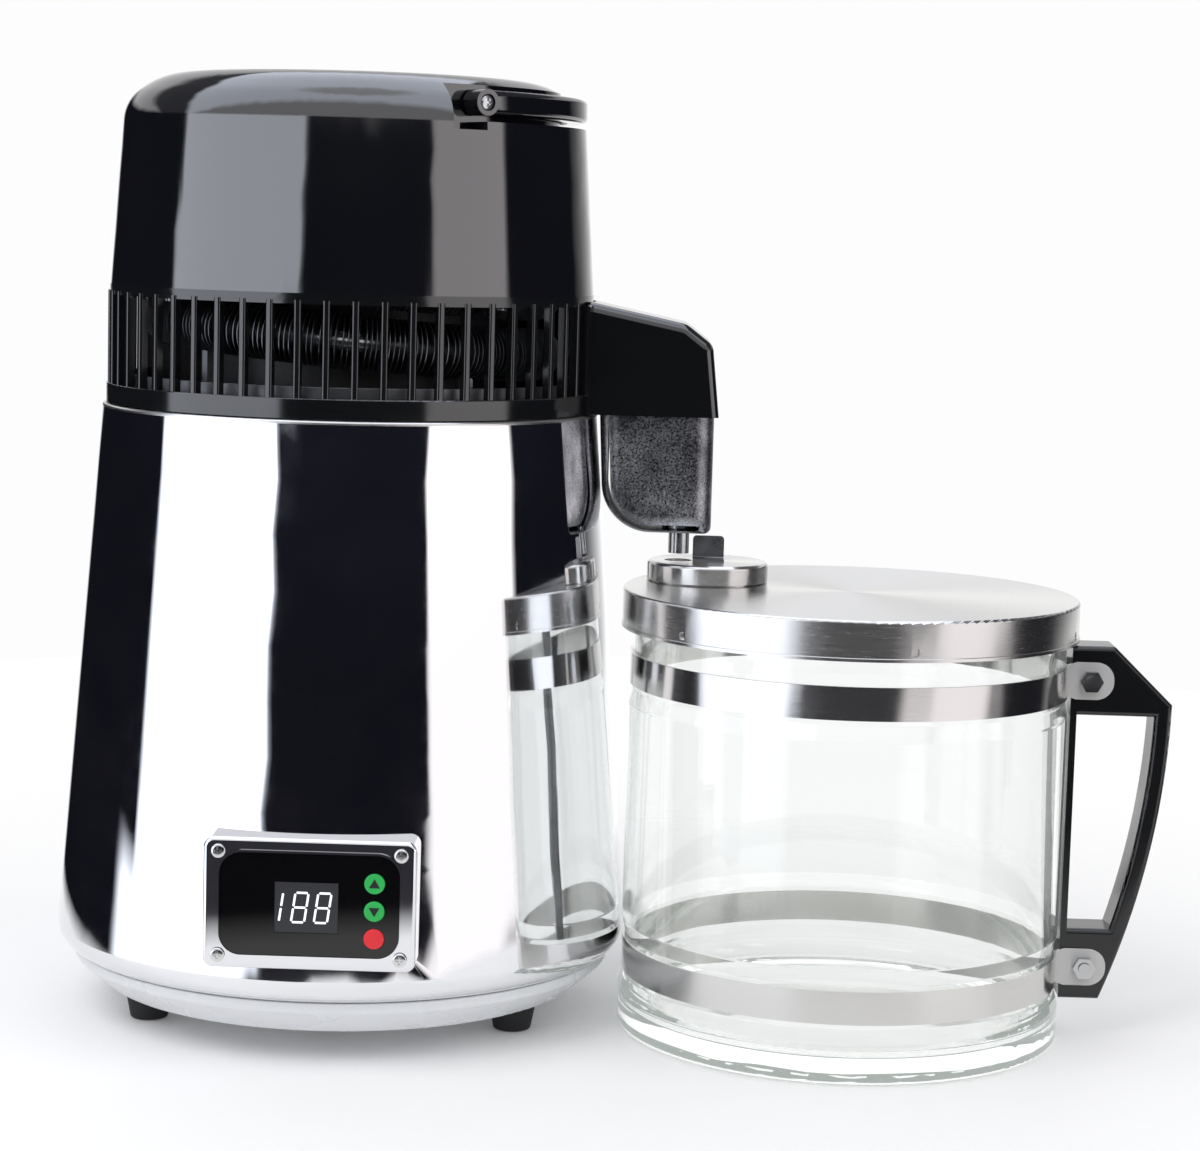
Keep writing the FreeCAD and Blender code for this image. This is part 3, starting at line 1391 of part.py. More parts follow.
def head_dome():
    wall = S.dome_wall
    shoulder_z = DOME_TOP - S.shoulder_drop
    crown = S.dome_shoulder_radius - S.shoulder_width
    body = turned("head_dome", [
        (0, DOME_FOOT),
        (S.dome_radius, DOME_FOOT),
        (S.dome_shoulder_radius, shoulder_z, S.shoulder_low_round),
        (crown, DOME_TOP, S.shoulder_top_round),
        (0, DOME_TOP),
    ])
    # the inside, first up to under the handle's recess, then inside the recess's wall
    slope = (S.dome_radius - S.dome_shoulder_radius) / (shoulder_z - DOME_FOOT)
    notch_floor = PIVOT_Z - S.notch_drop
    under = notch_floor - wall
    inner = S.recess_radius - wall
    under_radius = S.dome_radius - wall - (under - DOME_FOOT) * slope
    groove(body, outline(new_sketch(body, "XZ_Plane"), [
        (0, DOME_FOOT - 1.0),
        (S.dome_radius - wall, DOME_FOOT - 1.0),
        (under_radius, under),
        (inner, under),
        (inner, DOME_TOP - wall - 5.1),
        (inner - 16.0, DOME_TOP - wall),
        (0, DOME_TOP - wall),
    ]))
    # the channel that the folded handle lies in, with a deeper notch at each pivot
    sweep = 180.0 + 2 * S.recess_overrun
    channel = [
        (S.recess_radius, RECESS_FLOOR),
        (S.dome_radius + 5.0, RECESS_FLOOR),
        (S.dome_radius + 5.0, DOME_TOP + 1.0),
        (S.recess_radius, DOME_TOP + 1.0),
    ]
    groove(body, outline(new_sketch(body, "XZ_Plane", 0.0, S.handle_angle), channel), sweep)
    middle = S.handle_angle - 90.0 - S.recess_overrun / 2
    for turn in (middle, S.handle_angle + 90.0 + S.recess_overrun / 2):
        groove(body, outline(new_sketch(body, "XZ_Plane", 0.0, turn), [
            (S.recess_radius, notch_floor),
            (S.dome_radius + 5.0, notch_floor),
            (S.dome_radius + 5.0, RECESS_FLOOR + 1.0),
            (S.recess_radius, RECESS_FLOOR + 1.0),
        ]), S.recess_overrun)
    solid_side = S.handle_angle + 180.0
    hollow = new_sketch(body, "XZ_Plane", 0.0, solid_side)
    groove(body, outline(hollow, [
        (inner - 0.5, under - 0.5),
        (under_radius, under - 0.5),
        (under_radius - 0.9, under + 6.0),
        (inner + 5.0, under + 14.0),
        (inner - 0.5, under + 17.0),
    ]), 150.0)
    # posts inside for the grille ring's screws, the fan bracket's screws and the handle's pivots
    rim = (S.dome_screw_circle, S.plate_screw_angle, 4)
    posts = circle_ring(new_sketch(body, "XY_Plane", DOME_FOOT), *rim, S.dome_boss_radius)
    pad(body, posts, S.dome_boss_length)
    crown = (S.bracket_screw_circle, 0.0, 4)
    bosses = circle_ring(new_sketch(body, "XY_Plane", BRACKET_TOP), *crown, S.dome_boss_radius)
    pad(body, bosses, S.bracket_boss_length + wall / 2)
    pivots = new_sketch(body, "XY_Plane", PIVOT_Z - S.handle_boss_radius)
    distance = S.recess_radius - S.handle_boss_radius - 0.2
    circle_ring(pivots, distance, S.handle_angle - 90.0, 2, S.handle_boss_radius)
    pad(body, pivots, 2 * S.handle_boss_radius)
    holes = circle_ring(new_sketch(body, "XY_Plane", DOME_FOOT - 1.0), *rim, S.screw_radius + S.thread)
    pocket(body, holes, S.dome_boss_length - 4.0, True)
    bores = circle_ring(new_sketch(body, "XY_Plane", BRACKET_TOP - 1.0), *crown, S.screw_radius + S.thread)
    pocket(body, bores, S.bracket_boss_length - 2.0, True)
    across = new_sketch(body, "XZ_Plane", 0.0, S.handle_angle)
    pocket(body, circle(across, 0, PIVOT_Z, S.pivot_radius + S.thread), 2 * S.dome_radius, False, True)
    # air slots in the top
    slot = new_sketch(body, "XY_Plane", DOME_TOP + 1.0, S.handle_angle)
    length = S.vent_outer - S.vent_inner
    middle = S.vent_inner + length / 2
    outline(slot, box_corners(middle, Size(0, "0"), length, S.vent_width, S.vent_width / 2.05))
    around(body, [pocket(body, slot, wall + 2.0)], S.vent_count)


def carry_handle():
    """A half ring with a boss at each end, lying folded round the dome's edge."""
    body = new_body("carry_handle")
    low, high = PIVOT_Z - S.handle_height / 2, PIVOT_Z + S.handle_height / 2
    revolve(body, outline(new_sketch(body, "XZ_Plane", 0.0, S.handle_angle), [
        (S.handle_inner, low, S.handle_corner),
        (S.handle_outer, low, S.handle_corner),
        (S.handle_outer, high, S.handle_corner),
        (S.handle_inner, high, S.handle_corner),
    ]), 180.0)
    width = S.handle_outer - S.handle_inner
    for start, reverse in ((S.handle_inner, False), (-S.handle_inner, True)):
        boss = new_sketch(body, "XZ_Plane", start, S.handle_angle)
        pad(body, circle(boss, 0, PIVOT_Z, S.handle_boss_radius), width, reverse)
    bore = new_sketch(body, "XZ_Plane", 0.0, S.handle_angle)
    pocket(body, circle(bore, 0, PIVOT_Z, S.pivot_radius + S.running), 2 * S.dome_radius, False, True)
    depth = S.pivot_head + S.pivot_head_sink + 0.3
    for start, reverse in ((S.handle_outer, False), (-S.handle_outer, True)):
        sink = new_sketch(body, "XZ_Plane", start, S.handle_angle)
        pocket(body, circle(sink, 0, PIVOT_Z, S.pivot_head_radius + 0.35), depth, reverse)


def handle_screws():
    """One pivot screw at each end of the handle, through its boss into the dome."""
    body = new_body("handle_screws")
    head = S.handle_outer - S.pivot_head_sink
    for way, reverse in ((1, True), (-1, False)):
        face = new_sketch(body, "XZ_Plane", way * head, S.handle_angle)
        pad(body, circle(face, 0, PIVOT_Z, S.pivot_head_radius), S.pivot_head, reverse)
        shank = new_sketch(body, "XZ_Plane", way * (head - 0.3), S.handle_angle)
        pad(body, circle(shank, 0, PIVOT_Z, S.pivot_radius), S.pivot_length, reverse)


# Spout

def arm_corners(foot, root, inset):
    """The arm's side outline, inset for its hollow."""
    return [
        (root, foot),
        (S.arm_reach - inset, foot),
        (S.arm_end_reach - inset, ARM_FOOT + S.arm_end_height - inset * 0.4, 6.0),
        (S.arm_crest_reach - inset * 0.4, ARM_FOOT + S.arm_crest_height - inset, 8.0),
        (root, ARM_FOOT + S.arm_root_height - inset),
    ]


def spout_arm():
    body = new_body("spout_arm")
    root = S.ring_radius - 3.0
    pad(body, outline(new_sketch(body, "XZ_Plane"), arm_corners(ARM_FOOT, root, 0.0)), S.arm_width, False, True)
    half = S.arm_width / 2

    def on_a_cheek(edge):
        beside = lies_at(edge, "y", half) or lies_at(edge, "y", -half)
        return beside and not lies_at(edge, "z", ARM_FOOT) and not lies_at(edge, "x", root)

    round_edges(body, S.arm_edge_round, on_a_cheek)
    inner = S.ring_radius + S.seat
    outer = inner + S.arm_flange
    top = ARM_FOOT + S.arm_root_height - 1.5
    revolve(body, outline(new_sketch(body, "XZ_Plane"), [
        (inner - 0.5, ARM_FOOT), (outer, ARM_FOOT), (outer, top, 1.0), (inner - 0.5, top),
    ]), S.arm_flange_angle)
    start = inner + S.arm_root_thickness
    hollow = outline(new_sketch(body, "XZ_Plane"), arm_corners(ARM_FOOT - 1.0, start, S.arm_wall))
    pocket(body, hollow, S.arm_width - 2 * S.arm_wall, False, True)
    groove(body, outline(new_sketch(body, "XZ_Plane"), [
        (0, ARM_FOOT - 1.0), (inner, ARM_FOOT - 1.0), (inner, DOME_FOOT + 4.0), (0, DOME_FOOT + 4.0),
    ]))
    # a tongue that fills the opening between the slats, from the ring's ledge to its band
    revolve(body, outline(new_sketch(body, "XZ_Plane"), [
        (inner - S.arm_tongue, RING_TOP), (inner + 0.5, RING_TOP),
        (inner + 0.5, BAND_FOOT), (inner - S.arm_tongue, BAND_FOOT),
    ]), S.arm_flange_angle)
    pipe = new_sketch(body, "YZ_Plane", inner - S.arm_tongue - 1.0)
    length = S.arm_tongue + S.arm_root_thickness + 2.0
    pocket(body, circle(pipe, S.coil_turn_off, COIL_EXIT, S.coil_tube + 0.5), length, True)


def spout_nozzle():
    """A polished cup under the arm: upright in front, swept in at its heel, open at the top."""
    body = new_body("spout_nozzle")
    inside = S.ring_radius + S.seat + S.arm_root_thickness + 0.6
    neck_end = S.arm_reach - S.arm_wall - 2.2
    shoulder = ARM_FOOT
    top = ARM_FOOT + S.nozzle_neck
    pad(body, outline(new_sketch(body, "XZ_Plane"), [
        (inside, top),
        (inside, shoulder),
        (S.nozzle_left, shoulder),
        (S.nozzle_heel, NOZZLE_FOOT, S.nozzle_heel_round),
        (S.nozzle_right, NOZZLE_FOOT, 3.0),
        (S.nozzle_right, shoulder),
        (neck_end, shoulder),
        (neck_end, top),
    ]), S.nozzle_width, False, True)

    def upright_front(edge):
        box = edge.BoundBox
        return box.ZLength > 20.0 and abs(box.XMax - S.nozzle_right) < 0.01 and box.YLength < 0.01

    round_edges(body, S.nozzle_front_round, upright_front)
    wall = S.nozzle_wall
    front = S.nozzle_right - S.nozzle_front_wall
    hollow = outline(new_sketch(body, "XZ_Plane"), [
        (S.nozzle_heel + wall, top + 1.0),
        (S.nozzle_heel + wall, NOZZLE_FOOT + wall, S.nozzle_heel_round - wall),
        (front, NOZZLE_FOOT + wall, 2.0),
        (front, shoulder - 3.0),
        (neck_end - wall, shoulder - 3.0),
        (neck_end - wall, top + 1.0),
    ])
    pocket(body, hollow, S.nozzle_width - 2 * wall, False, True)
    hole = new_sketch(body, "XY_Plane", NOZZLE_FOOT - 1.0)
    pocket(body, circle(hole, S.tube_x, 0, S.tube_radius + S.thread), wall + 2.0, True)


def spout_inside():
    floor = NOZZLE_FOOT + S.nozzle_wall
    turned("outlet_tube", [
        (S.tube_bore, TUBE_FOOT),
        (S.tube_radius, TUBE_FOOT),
        (S.tube_radius, floor),
        (S.tube_flange_radius, floor),
        (S.tube_flange_radius, floor + S.tube_flange),
        (S.tube_bore, floor + S.tube_flange),
    ], beside(S.tube_x, 0.0))
    foot = floor + S.tube_flange
    turned("filter_cup", [
        (0, foot),
        (S.filter_radius - 1.5, foot),
        (S.filter_radius, foot + 4.0, 2.0),
        (S.filter_radius, foot + S.filter_height, 1.0),
        (0, foot + S.filter_height),
    ], beside(S.filter_x, 0.0))


# Condenser

def coil_path():
    """Edges from the vapour fitting up, round the turns on half circles, and out to the spout."""
    ring, pitch, turn_off = float(S.coil_radius), float(S.coil_pitch), float(S.coil_turn_off)
    entry, leaving = float(COIL_ENTRY), float(COIL_EXIT)
    riser, start = float(S.coil_riser_x), float(PLATE_TOP + S.fitting_flange)
    quarter = math.sqrt(0.5)
    bend = turn_off
    edges = [Part.LineSegment(Vector(riser, turn_off, start), Vector(riser, turn_off, entry - bend))]
    edges.append(Part.Arc(
        Vector(riser, turn_off, entry - bend),
        Vector(riser - bend * (1 - quarter), turn_off, entry - bend * (1 - quarter)),
        Vector(riser - bend, turn_off, entry),
    ))
    edges.append(Part.LineSegment(Vector(riser - bend, turn_off, entry), Vector(turn_off - ring, turn_off, entry)))
    edges.append(Part.Arc(
        Vector(turn_off - ring, turn_off, entry),
        Vector(turn_off - ring - turn_off * quarter, turn_off * quarter, entry),
        Vector(-ring, 0, entry),
    ))
    for first, middle, last in coil_half_turns():
        edges.append(Part.Arc(first, middle, last))
    edges.append(Part.Arc(
        Vector(ring, 0, leaving),
        Vector(ring + turn_off * (1 - quarter), turn_off * quarter, leaving),
        Vector(ring + turn_off, turn_off, leaving),
    ))
    outlet, drop = float(S.coil_outlet_x), float(S.coil_outlet_bend)
    edges.append(Part.LineSegment(Vector(ring + turn_off, turn_off, leaving), Vector(outlet, turn_off, leaving)))
    edges.append(Part.Arc(
        Vector(outlet, turn_off, leaving),
        Vector(outlet + drop * quarter, turn_off, leaving - drop * (1 - quarter)),
        Vector(outlet + drop, turn_off, leaving - drop),
    ))
    end = leaving - drop - float(S.coil_outlet_drop)
    edges.append(Part.LineSegment(Vector(outlet + drop, turn_off, leaving - drop), Vector(outlet + drop, turn_off, end)))
    return Part.Wire([edge.toShape() for edge in edges])


def coil_half_turns():
    """Start, middle and end of each half turn, anticlockwise from -X and sinking evenly."""
    ring, sink = float(S.coil_radius), float(S.coil_pitch) / 2
    turns = []
    for number in range(int(S.coil_half_turns)):
        side = -1 if number % 2 == 0 else 1
        high = float(COIL_ENTRY) - number * sink
        chord = math.hypot(2 * ring, sink)
        middle = Vector(0, side * chord / 2, high - sink / 2)
        turns.append((Vector(side * ring, 0, high), middle, Vector(-side * ring, 0, high - sink)))
    return turns


def least_gap(wire, radius):
    """The least gap between a winding and itself, measured on points along it."""
    step = float(S.coil_tube)
    count = int(wire.Length / step)
    points = wire.discretize(count)
    apart = int(math.pi * float(S.coil_turn_off) / step) + 4
    distances = [
        (points[i] - points[j]).Length for i in range(count) for j in range(i + apart, count)
    ]
    return min(distances) - 2 * radius


def condenser():
    wire = coil_path()
    start = wire.OrderedEdges[0]
    origin, along = start.valueAt(start.FirstParameter), start.tangentAt(start.FirstParameter)
    tubes = []
    for radius in (S.coil_tube, S.coil_bore):
        ring = Part.Wire([Part.makeCircle(float(radius), origin, along)])
        tubes.append(wire.makePipeShell([ring], True, False))
    coil = tubes[0].cut(tubes[1])
    print("condenser coil: length %.1f, least gap to itself %.2f" % (wire.Length, least_gap(wire, float(S.coil_tube))))
    section = math.pi * (float(S.coil_tube) ** 2 - float(S.coil_bore) ** 2)
    print("condenser coil: volume %.0f, section times length %.0f" % (coil.Volume, section * wire.Length))
    feature("condenser_coil", coil)
    disc = Part.makeCylinder(float(S.fin_radius), float(S.fin_thickness), Vector(0, 0, -float(S.fin_thickness) / 2))
    hole = Part.makeCylinder(float(S.coil_tube + S.thread), 4.0, Vector(0, 0, -2.0))
    fin = disc.cut(hole)
    count = int(S.fins_per_half_turn)
    fins = []
    for first, middle, last in coil_half_turns():
        arc = Part.Arc(first, middle, last).toShape()
        low, high = arc.FirstParameter, arc.LastParameter
        for number in range(count):
            where = low + (high - low) * (number + 0.5) / count
            copy = fin.copy()
            turn = Rotation(Vector(0, 0, 1), arc.tangentAt(where))
            copy.Placement = Placement(arc.valueAt(where), turn)
            fins.append(copy)
    feature("condenser_fins", Part.makeCompound(fins))
    feature("coil_posts", Part.makeCompound(coil_posts()))


def coil_posts():
    """Flat posts from the plate to the underside of the tube, each between two fins."""
    spacing = 180.0 / float(S.fins_per_half_turn)
    turns = coil_half_turns()
    posts = []
    for turn, share in ((-1, 0.25), (-1, 0.75), (-2, 0.5)):
        place = round(share * 180.0 / spacing) * spacing
        first, middle, last = turns[turn]
        arc = Part.Arc(first, middle, last).toShape()
        spot = arc.valueAt(arc.FirstParameter + (arc.LastParameter - arc.FirstParameter) * place / 180.0)
        height = spot.z - float(S.coil_tube) - float(PLATE_TOP) - 0.2
        post = Part.makeBox(float(S.post_width), float(S.post_thickness), height)
        post.translate(Vector(-float(S.post_width) / 2, -float(S.post_thickness) / 2, 0))
        post.rotate(Vector(), Vector(0, 0, 1), math.degrees(math.atan2(spot.y, spot.x)))
        post.translate(Vector(spot.x, spot.y, float(PLATE_TOP)))
        posts.append(post)
    return posts


def vapour_fitting():
    foot, seat = PLATE_TOP, PLATE_TOP + S.fitting_flange
    turned("vapour_fitting", [
        (S.coil_bore, foot),
        (S.fitting_flange_radius, foot),
        (S.fitting_flange_radius, seat),
        (S.fitting_radius, seat, 1.0),
        (S.fitting_radius, foot + S.fitting_height),
        (S.coil_tube + S.thread, foot + S.fitting_height),
        (S.coil_tube + S.thread, seat),
        (S.coil_bore, seat),
    ], beside(S.coil_riser_x, S.coil_turn_off))


def air_baffle():
    """A sheet drum inside the winding, welded to the plate by its flange, that keeps the air among the fins."""
    wall = S.baffle_wall
    outside = S.coil_radius - S.fin_radius - S.baffle_gap
    top = COIL_ENTRY - S.baffle_drop
    turned("air_baffle", [
        (outside - S.baffle_flange, PLATE_TOP),
        (outside, PLATE_TOP),
        (outside, top),
        (outside - wall, top),
        (outside - wall, PLATE_TOP + wall),
        (outside - S.baffle_flange, PLATE_TOP + wall),
    ])


# Fan

def fan():
    nose = MOTOR_FOOT - S.motor_nose
    turned("fan_motor", [
        (S.shaft_radius + S.running, nose),
        (S.motor_nose_radius, nose),
        (S.motor_nose_radius, MOTOR_FOOT),
        (S.motor_radius, MOTOR_FOOT, 2.0),
        (S.motor_radius, BRACKET_FOOT),
        (0, BRACKET_FOOT),
        (0, BRACKET_FOOT - 2.5),
        (S.shaft_radius + S.running, BRACKET_FOOT - 2.5),
    ])
    shaft_foot = HUB_TOP - S.hub_height - 1.0
    turned("fan_shaft", [
        (0, shaft_foot),
        (S.shaft_radius, shaft_foot, 0.4),
        (S.shaft_radius, shaft_foot + S.shaft_length),
        (0, shaft_foot + S.shaft_length),
    ])
    hub_foot = HUB_TOP - S.hub_height
    body = turned("fan_impeller", [
        (S.shaft_radius + S.thread / 2, hub_foot),
        (S.hub_radius, hub_foot, 2.0),
        (S.hub_radius, HUB_TOP),
        (S.shaft_radius + S.thread / 2, HUB_TOP),
    ])
    blade = new_sketch(body, "YZ_Plane", S.hub_radius - 1.5)
    low, high = hub_foot - 0.5, hub_foot + S.blade_rise - 0.5
    half = S.blade_chord / 2
    belly = (low + high) / 2
    outline(blade, [
        (-half, low), ("via", Size(0, "0"), belly - 1.6), (half, high - S.blade_thickness),
        (half, high), ("via", Size(0, "0"), belly), (-half, low + S.blade_thickness),
    ])
    around(body, [pad(body, blade, S.blade_radius - S.hub_radius + 1.5)], S.blade_count)


def fan_bracket():
    body = new_body("fan_bracket")
    plate = new_sketch(body, "XY_Plane", BRACKET_FOOT)
    circle(plate, 0, 0, S.bracket_radius)
    circle(plate, 0, 0, S.motor_nose_radius)
    pad(body, plate, S.bracket_thickness)
    arm = new_sketch(body, "XY_Plane", BRACKET_FOOT)
    length = S.bracket_arm_reach - S.bracket_radius + 4.0
    outline(arm, box_corners(S.bracket_arm_reach - length / 2, Size(0, "0"), length, S.bracket_arm_width, 3.0))
    circle(arm, S.bracket_screw_circle, 0, S.screw_radius + S.slip)
    around(body, [pad(body, arm, S.bracket_thickness)], 4)
    turned_set("bracket_screws", [
        (0, BRACKET_FOOT - S.screw_head),
        (S.screw_head_radius, BRACKET_FOOT - S.screw_head, 0.6),
        (S.screw_head_radius, BRACKET_FOOT),
        (S.screw_radius, BRACKET_FOOT),
        (S.screw_radius, BRACKET_TOP + 9.0),
        (0, BRACKET_TOP + 9.0),
    ], S.bracket_screw_circle, 0.0, 4)


# Carafe: glass, bands and handle

def glass_jar():
    wall = S.jar_wall
    upper = S.jar_band_z
    lower = S.lower_band_z + S.band_strip_height
    turned("glass_jar", [
        (0, 1.6),
        (S.jar_seat_radius - 12.0, 1.6),
        (S.jar_seat_radius - 9.0, 0),
        (S.jar_heel_radius, 0, 3.0),
        (S.jar_heel_radius, S.lower_band_z - 8.0, 4.0),
        (S.jar_seat_radius, S.lower_band_z - 2.0, 3.0),
        (S.jar_seat_radius, lower + 2.0, 3.0),
        (S.jar_radius, lower + 8.0, 4.0),
        (S.jar_radius, S.jar_shoulder_z - 3.0, 4.0),
        (S.jar_seat_radius, upper - 2.0, 4.0),
        (S.jar_seat_radius, S.jar_height, 1.4),
        (S.jar_seat_radius - wall, S.jar_height, 1.4),
        (S.jar_seat_radius - wall, upper - 2.0, 6.0),
        (S.jar_radius - wall, S.jar_shoulder_z - 3.0, 6.0),
        (S.jar_radius - wall, S.jar_base, 7.0),
        (0, S.jar_base),
    ], JAR)


def band(label, foot, reach, bolt):
    """A steel strip round the jar whose ends turn out into two ears with a bolt through them."""
    body = new_body(label, JAR)
    inner = S.jar_seat_radius + S.seat
    outer = inner + S.band_strip
    top = foot + S.band_strip_height
    revolve(body, outline(new_sketch(body, "XZ_Plane"), [(inner, foot), (outer, foot), (outer, top), (inner, top)]))
    gap = new_sketch(body, "XY_Plane", foot - 1.0)
    outline(gap, box_corners(outer, Size(0, "0"), S.jar_wall * 6, S.grip_width))
    pocket(body, gap, S.band_strip_height + 2.0, True)
    middle = foot + S.band_strip_height / 2
    low, high = middle - S.ear_height / 2, middle + S.ear_height / 2
    ear = new_sketch(body, "XZ_Plane", S.grip_width / 2)
    root = inner - 0.6
    outline(ear, [(root, low + 1.5), (root + 4.0, low), (reach, low, S.ear_round), (reach, high, S.ear_round),
                  (root + 4.0, high), (root, high - 1.5)])
    circle(ear, bolt, middle, S.bolt_radius + S.slip)
    mirrored(body, [pad(body, ear, S.ear_thickness)])


UPPER_BOLT_Z = S.jar_band_z + S.band_strip_height / 2
LOWER_BOLT_Z = S.lower_band_z + S.band_strip_height / 2


def bands():
    band("upper_band", S.jar_band_z, S.upper_ear_reach, S.upper_bolt_reach)
    band("lower_band", S.lower_band_z, S.lower_ear_reach, S.lower_bolt_reach)


def jar_handle():
    body = new_body("jar_handle", JAR)
    loop = [
        (S.grip_inner, S.grip_foot_z),
        (S.grip_foot_reach, S.grip_foot_z),
        ("via", S.grip_belly_reach, S.grip_belly_z),
        (S.grip_crown_reach, S.grip_crown_z),
        (S.grip_top_reach, S.grip_top_z, 2.0),
        (S.grip_inner, S.grip_top_z),
    ]
    pad(body, outline(new_sketch(body, "XZ_Plane"), loop), S.grip_width, False, True)
    gap = [
        (S.grip_inner + S.grip_spine, S.gap_foot_z),
        (S.gap_foot_reach, S.gap_foot_z),
        ("via", S.gap_belly_reach, S.gap_belly_z),
        (S.gap_top_reach, S.gap_top_z),
        (S.grip_inner + S.grip_spine, S.gap_top_z),
    ]
    pocket(body, outline(new_sketch(body, "XZ_Plane"), gap), S.grip_width + 2.0, False, True)
    half = S.grip_width / 2

    def along_a_cheek(edge):
        beside = lies_at(edge, "y", half) or lies_at(edge, "y", -half)
        return beside and not lies_at(edge, "x", S.grip_inner) and not lies_at(edge, "x", gap[0][0])

    round_edges(body, S.grip_round, along_a_cheek)
    bolts = new_sketch(body, "XZ_Plane")
    circle(bolts, S.upper_bolt_reach, UPPER_BOLT_Z, S.bolt_radius + S.slip)
    circle(bolts, S.lower_bolt_reach, LOWER_BOLT_Z, S.bolt_radius + S.slip)
    pocket(body, bolts, S.grip_width + 2.0, False, True)
    clear = S.jar_radius + 0.3
    heel = S.jar_heel_radius + 0.3
    groove(body, outline(new_sketch(body, "XZ_Plane"), [
        (0, 0), (heel, 0), (heel, S.lower_band_z), (clear, S.lower_band_z + 2.0),
        (clear, S.grip_top_z + 5.0), (0, S.grip_top_z + 5.0),
    ]))


def band_fasteners():
    """A bolt through each pair of ears and the handle, with its nut on the panel's side."""
    bolts = new_body("band_bolts", JAR)
    outside = S.grip_width / 2 + S.ear_thickness
    heads = new_sketch(bolts, "XZ_Plane", -outside)
    shanks = new_sketch(bolts, "XZ_Plane", outside + S.bolt_nut + 1.2)
    nuts = new_body("band_nuts", JAR)
    hexes = new_sketch(nuts, "XZ_Plane", outside)
    for reach, level in ((S.upper_bolt_reach, UPPER_BOLT_Z), (S.lower_bolt_reach, LOWER_BOLT_Z)):
        circle(heads, reach, level, S.bolt_head_radius)
        circle(shanks, reach, level, S.bolt_radius)
        outline(hexes, hexagon(reach, level, S.nut_corner_radius))
        circle(hexes, reach, level, S.bolt_radius + S.thread)
    pad(bolts, heads, S.bolt_head, True)
    round_edges(bolts, S.bolt_head * 0.6, lambda edge: lies_at(edge, "y", outside + S.bolt_head))
    pad(bolts, shanks, 2 * outside + S.bolt_nut + 1.2 + 0.3, True)
    pad(nuts, hexes, S.bolt_nut)


# Carafe lid and cap

def jar_lid():
    wall = S.lid_wall
    plate = LID_TOP - wall
    foot = LID_TOP - S.lid_skirt
    body = turned("jar_lid", [
        (0, plate),
        (S.lid_radius - wall, plate),
        (S.lid_radius - wall, foot),
        (S.lid_radius + 0.4, foot),
        (S.lid_radius + 0.4, foot + 1.4, 0.3),
        (S.lid_radius, foot + 1.4),
        (S.lid_radius, LID_TOP, 1.1),
        (0, LID_TOP),
    ], JAR)
    cap_spot = (S.cap_x - S.jar_x, S.cap_y - S.jar_y)
    collar_top = CAP_TOP - S.cap_wall
    collar = new_sketch(body, "XY_Plane", plate + wall / 2)
    circle(collar, *cap_spot, S.collar_radius)
    pad(body, collar, collar_top - plate - wall / 2)
    hole = new_sketch(body, "XY_Plane", plate - 1.0)
    circle(hole, *cap_spot, S.collar_radius - wall)
    pocket(body, hole, collar_top - plate + 2.0, True)
    height = foot + S.dimple_rise
    bump = new_sketch(body, "XZ_Plane", S.lid_radius - wall / 2, S.dimple_angle + 90.0)
    circle(bump, 0, height, S.dimple_radius)
    dimples = pad(body, bump, S.dimple_depth, True)
    around(body, [dimples], S.dimple_count)
    dent = new_sketch(body, "XZ_Plane", S.lid_radius + 1.0, S.dimple_angle + 90.0)
    circle(dent, 0, height, S.dimple_radius - 0.6)
    around(body, [pocket(body, dent, 1.0 + S.dimple_depth - 0.5)], S.dimple_count)


def lid_seal():
    plate = LID_TOP - S.lid_wall
    turned("lid_seal", [
        (S.seal_inner, S.jar_height),
        (S.seal_outer, S.jar_height, 0.8),
        (S.seal_outer, plate),
        (S.seal_inner, plate),
    ], JAR)


def jar_cap():
    wall = S.cap_wall
    foot = LID_TOP + S.cap_gap
    body = turned("jar_cap", [
        (0, CAP_TOP - wall),
        (S.cap_radius - wall, CAP_TOP - wall),
        (S.cap_radius - wall, foot),
        (S.cap_radius, foot),
        (S.cap_radius, CAP_TOP, S.cap_round),
        (0, CAP_TOP),
    ], CAP)
    drip = new_sketch(body, "XY_Plane", CAP_TOP + 1.0)
    circle(drip, S.tube_x - S.cap_x, -S.cap_y, S.drip_hole)
    pocket(body, drip, wall + 2.0)


def cap_tab():
    """A thumb tab bent from a strip: an upright plate over a foot that is welded to the cap."""
    body = new_body("cap_tab", CAP)
    section = new_sketch(body, "YZ_Plane", S.tab_left)
    thick = S.tab_thickness
    top = CAP_TOP + S.tab_height
    outline(section, [
        (-S.tab_foot, CAP_TOP), (thick, CAP_TOP, 1.4), (thick, top), (0, top),
        (0, CAP_TOP + thick, 0.5), (-S.tab_foot, CAP_TOP + thick),
    ])
    pad(body, section, S.tab_right - S.tab_left)
    round_edges(body, 1.6, lambda edge: lies_at(edge, "z", top) and edge.BoundBox.YLength > 0.5)


def check_document():
    """Stop where a feature failed or a piece has no sound shape."""
    doc.recompute()
    bad = [item.Name for item in doc.Objects if "Invalid" in item.State or "Error" in item.State]
    for item in nodes:
        shape = item.Shape
        if shape.isNull() or not shape.isValid() or not shape.Solids or shape.Volume <= 0:
            bad.append(item.Label)
    if bad:
        raise RuntimeError("not sound: " + ", ".join(bad))


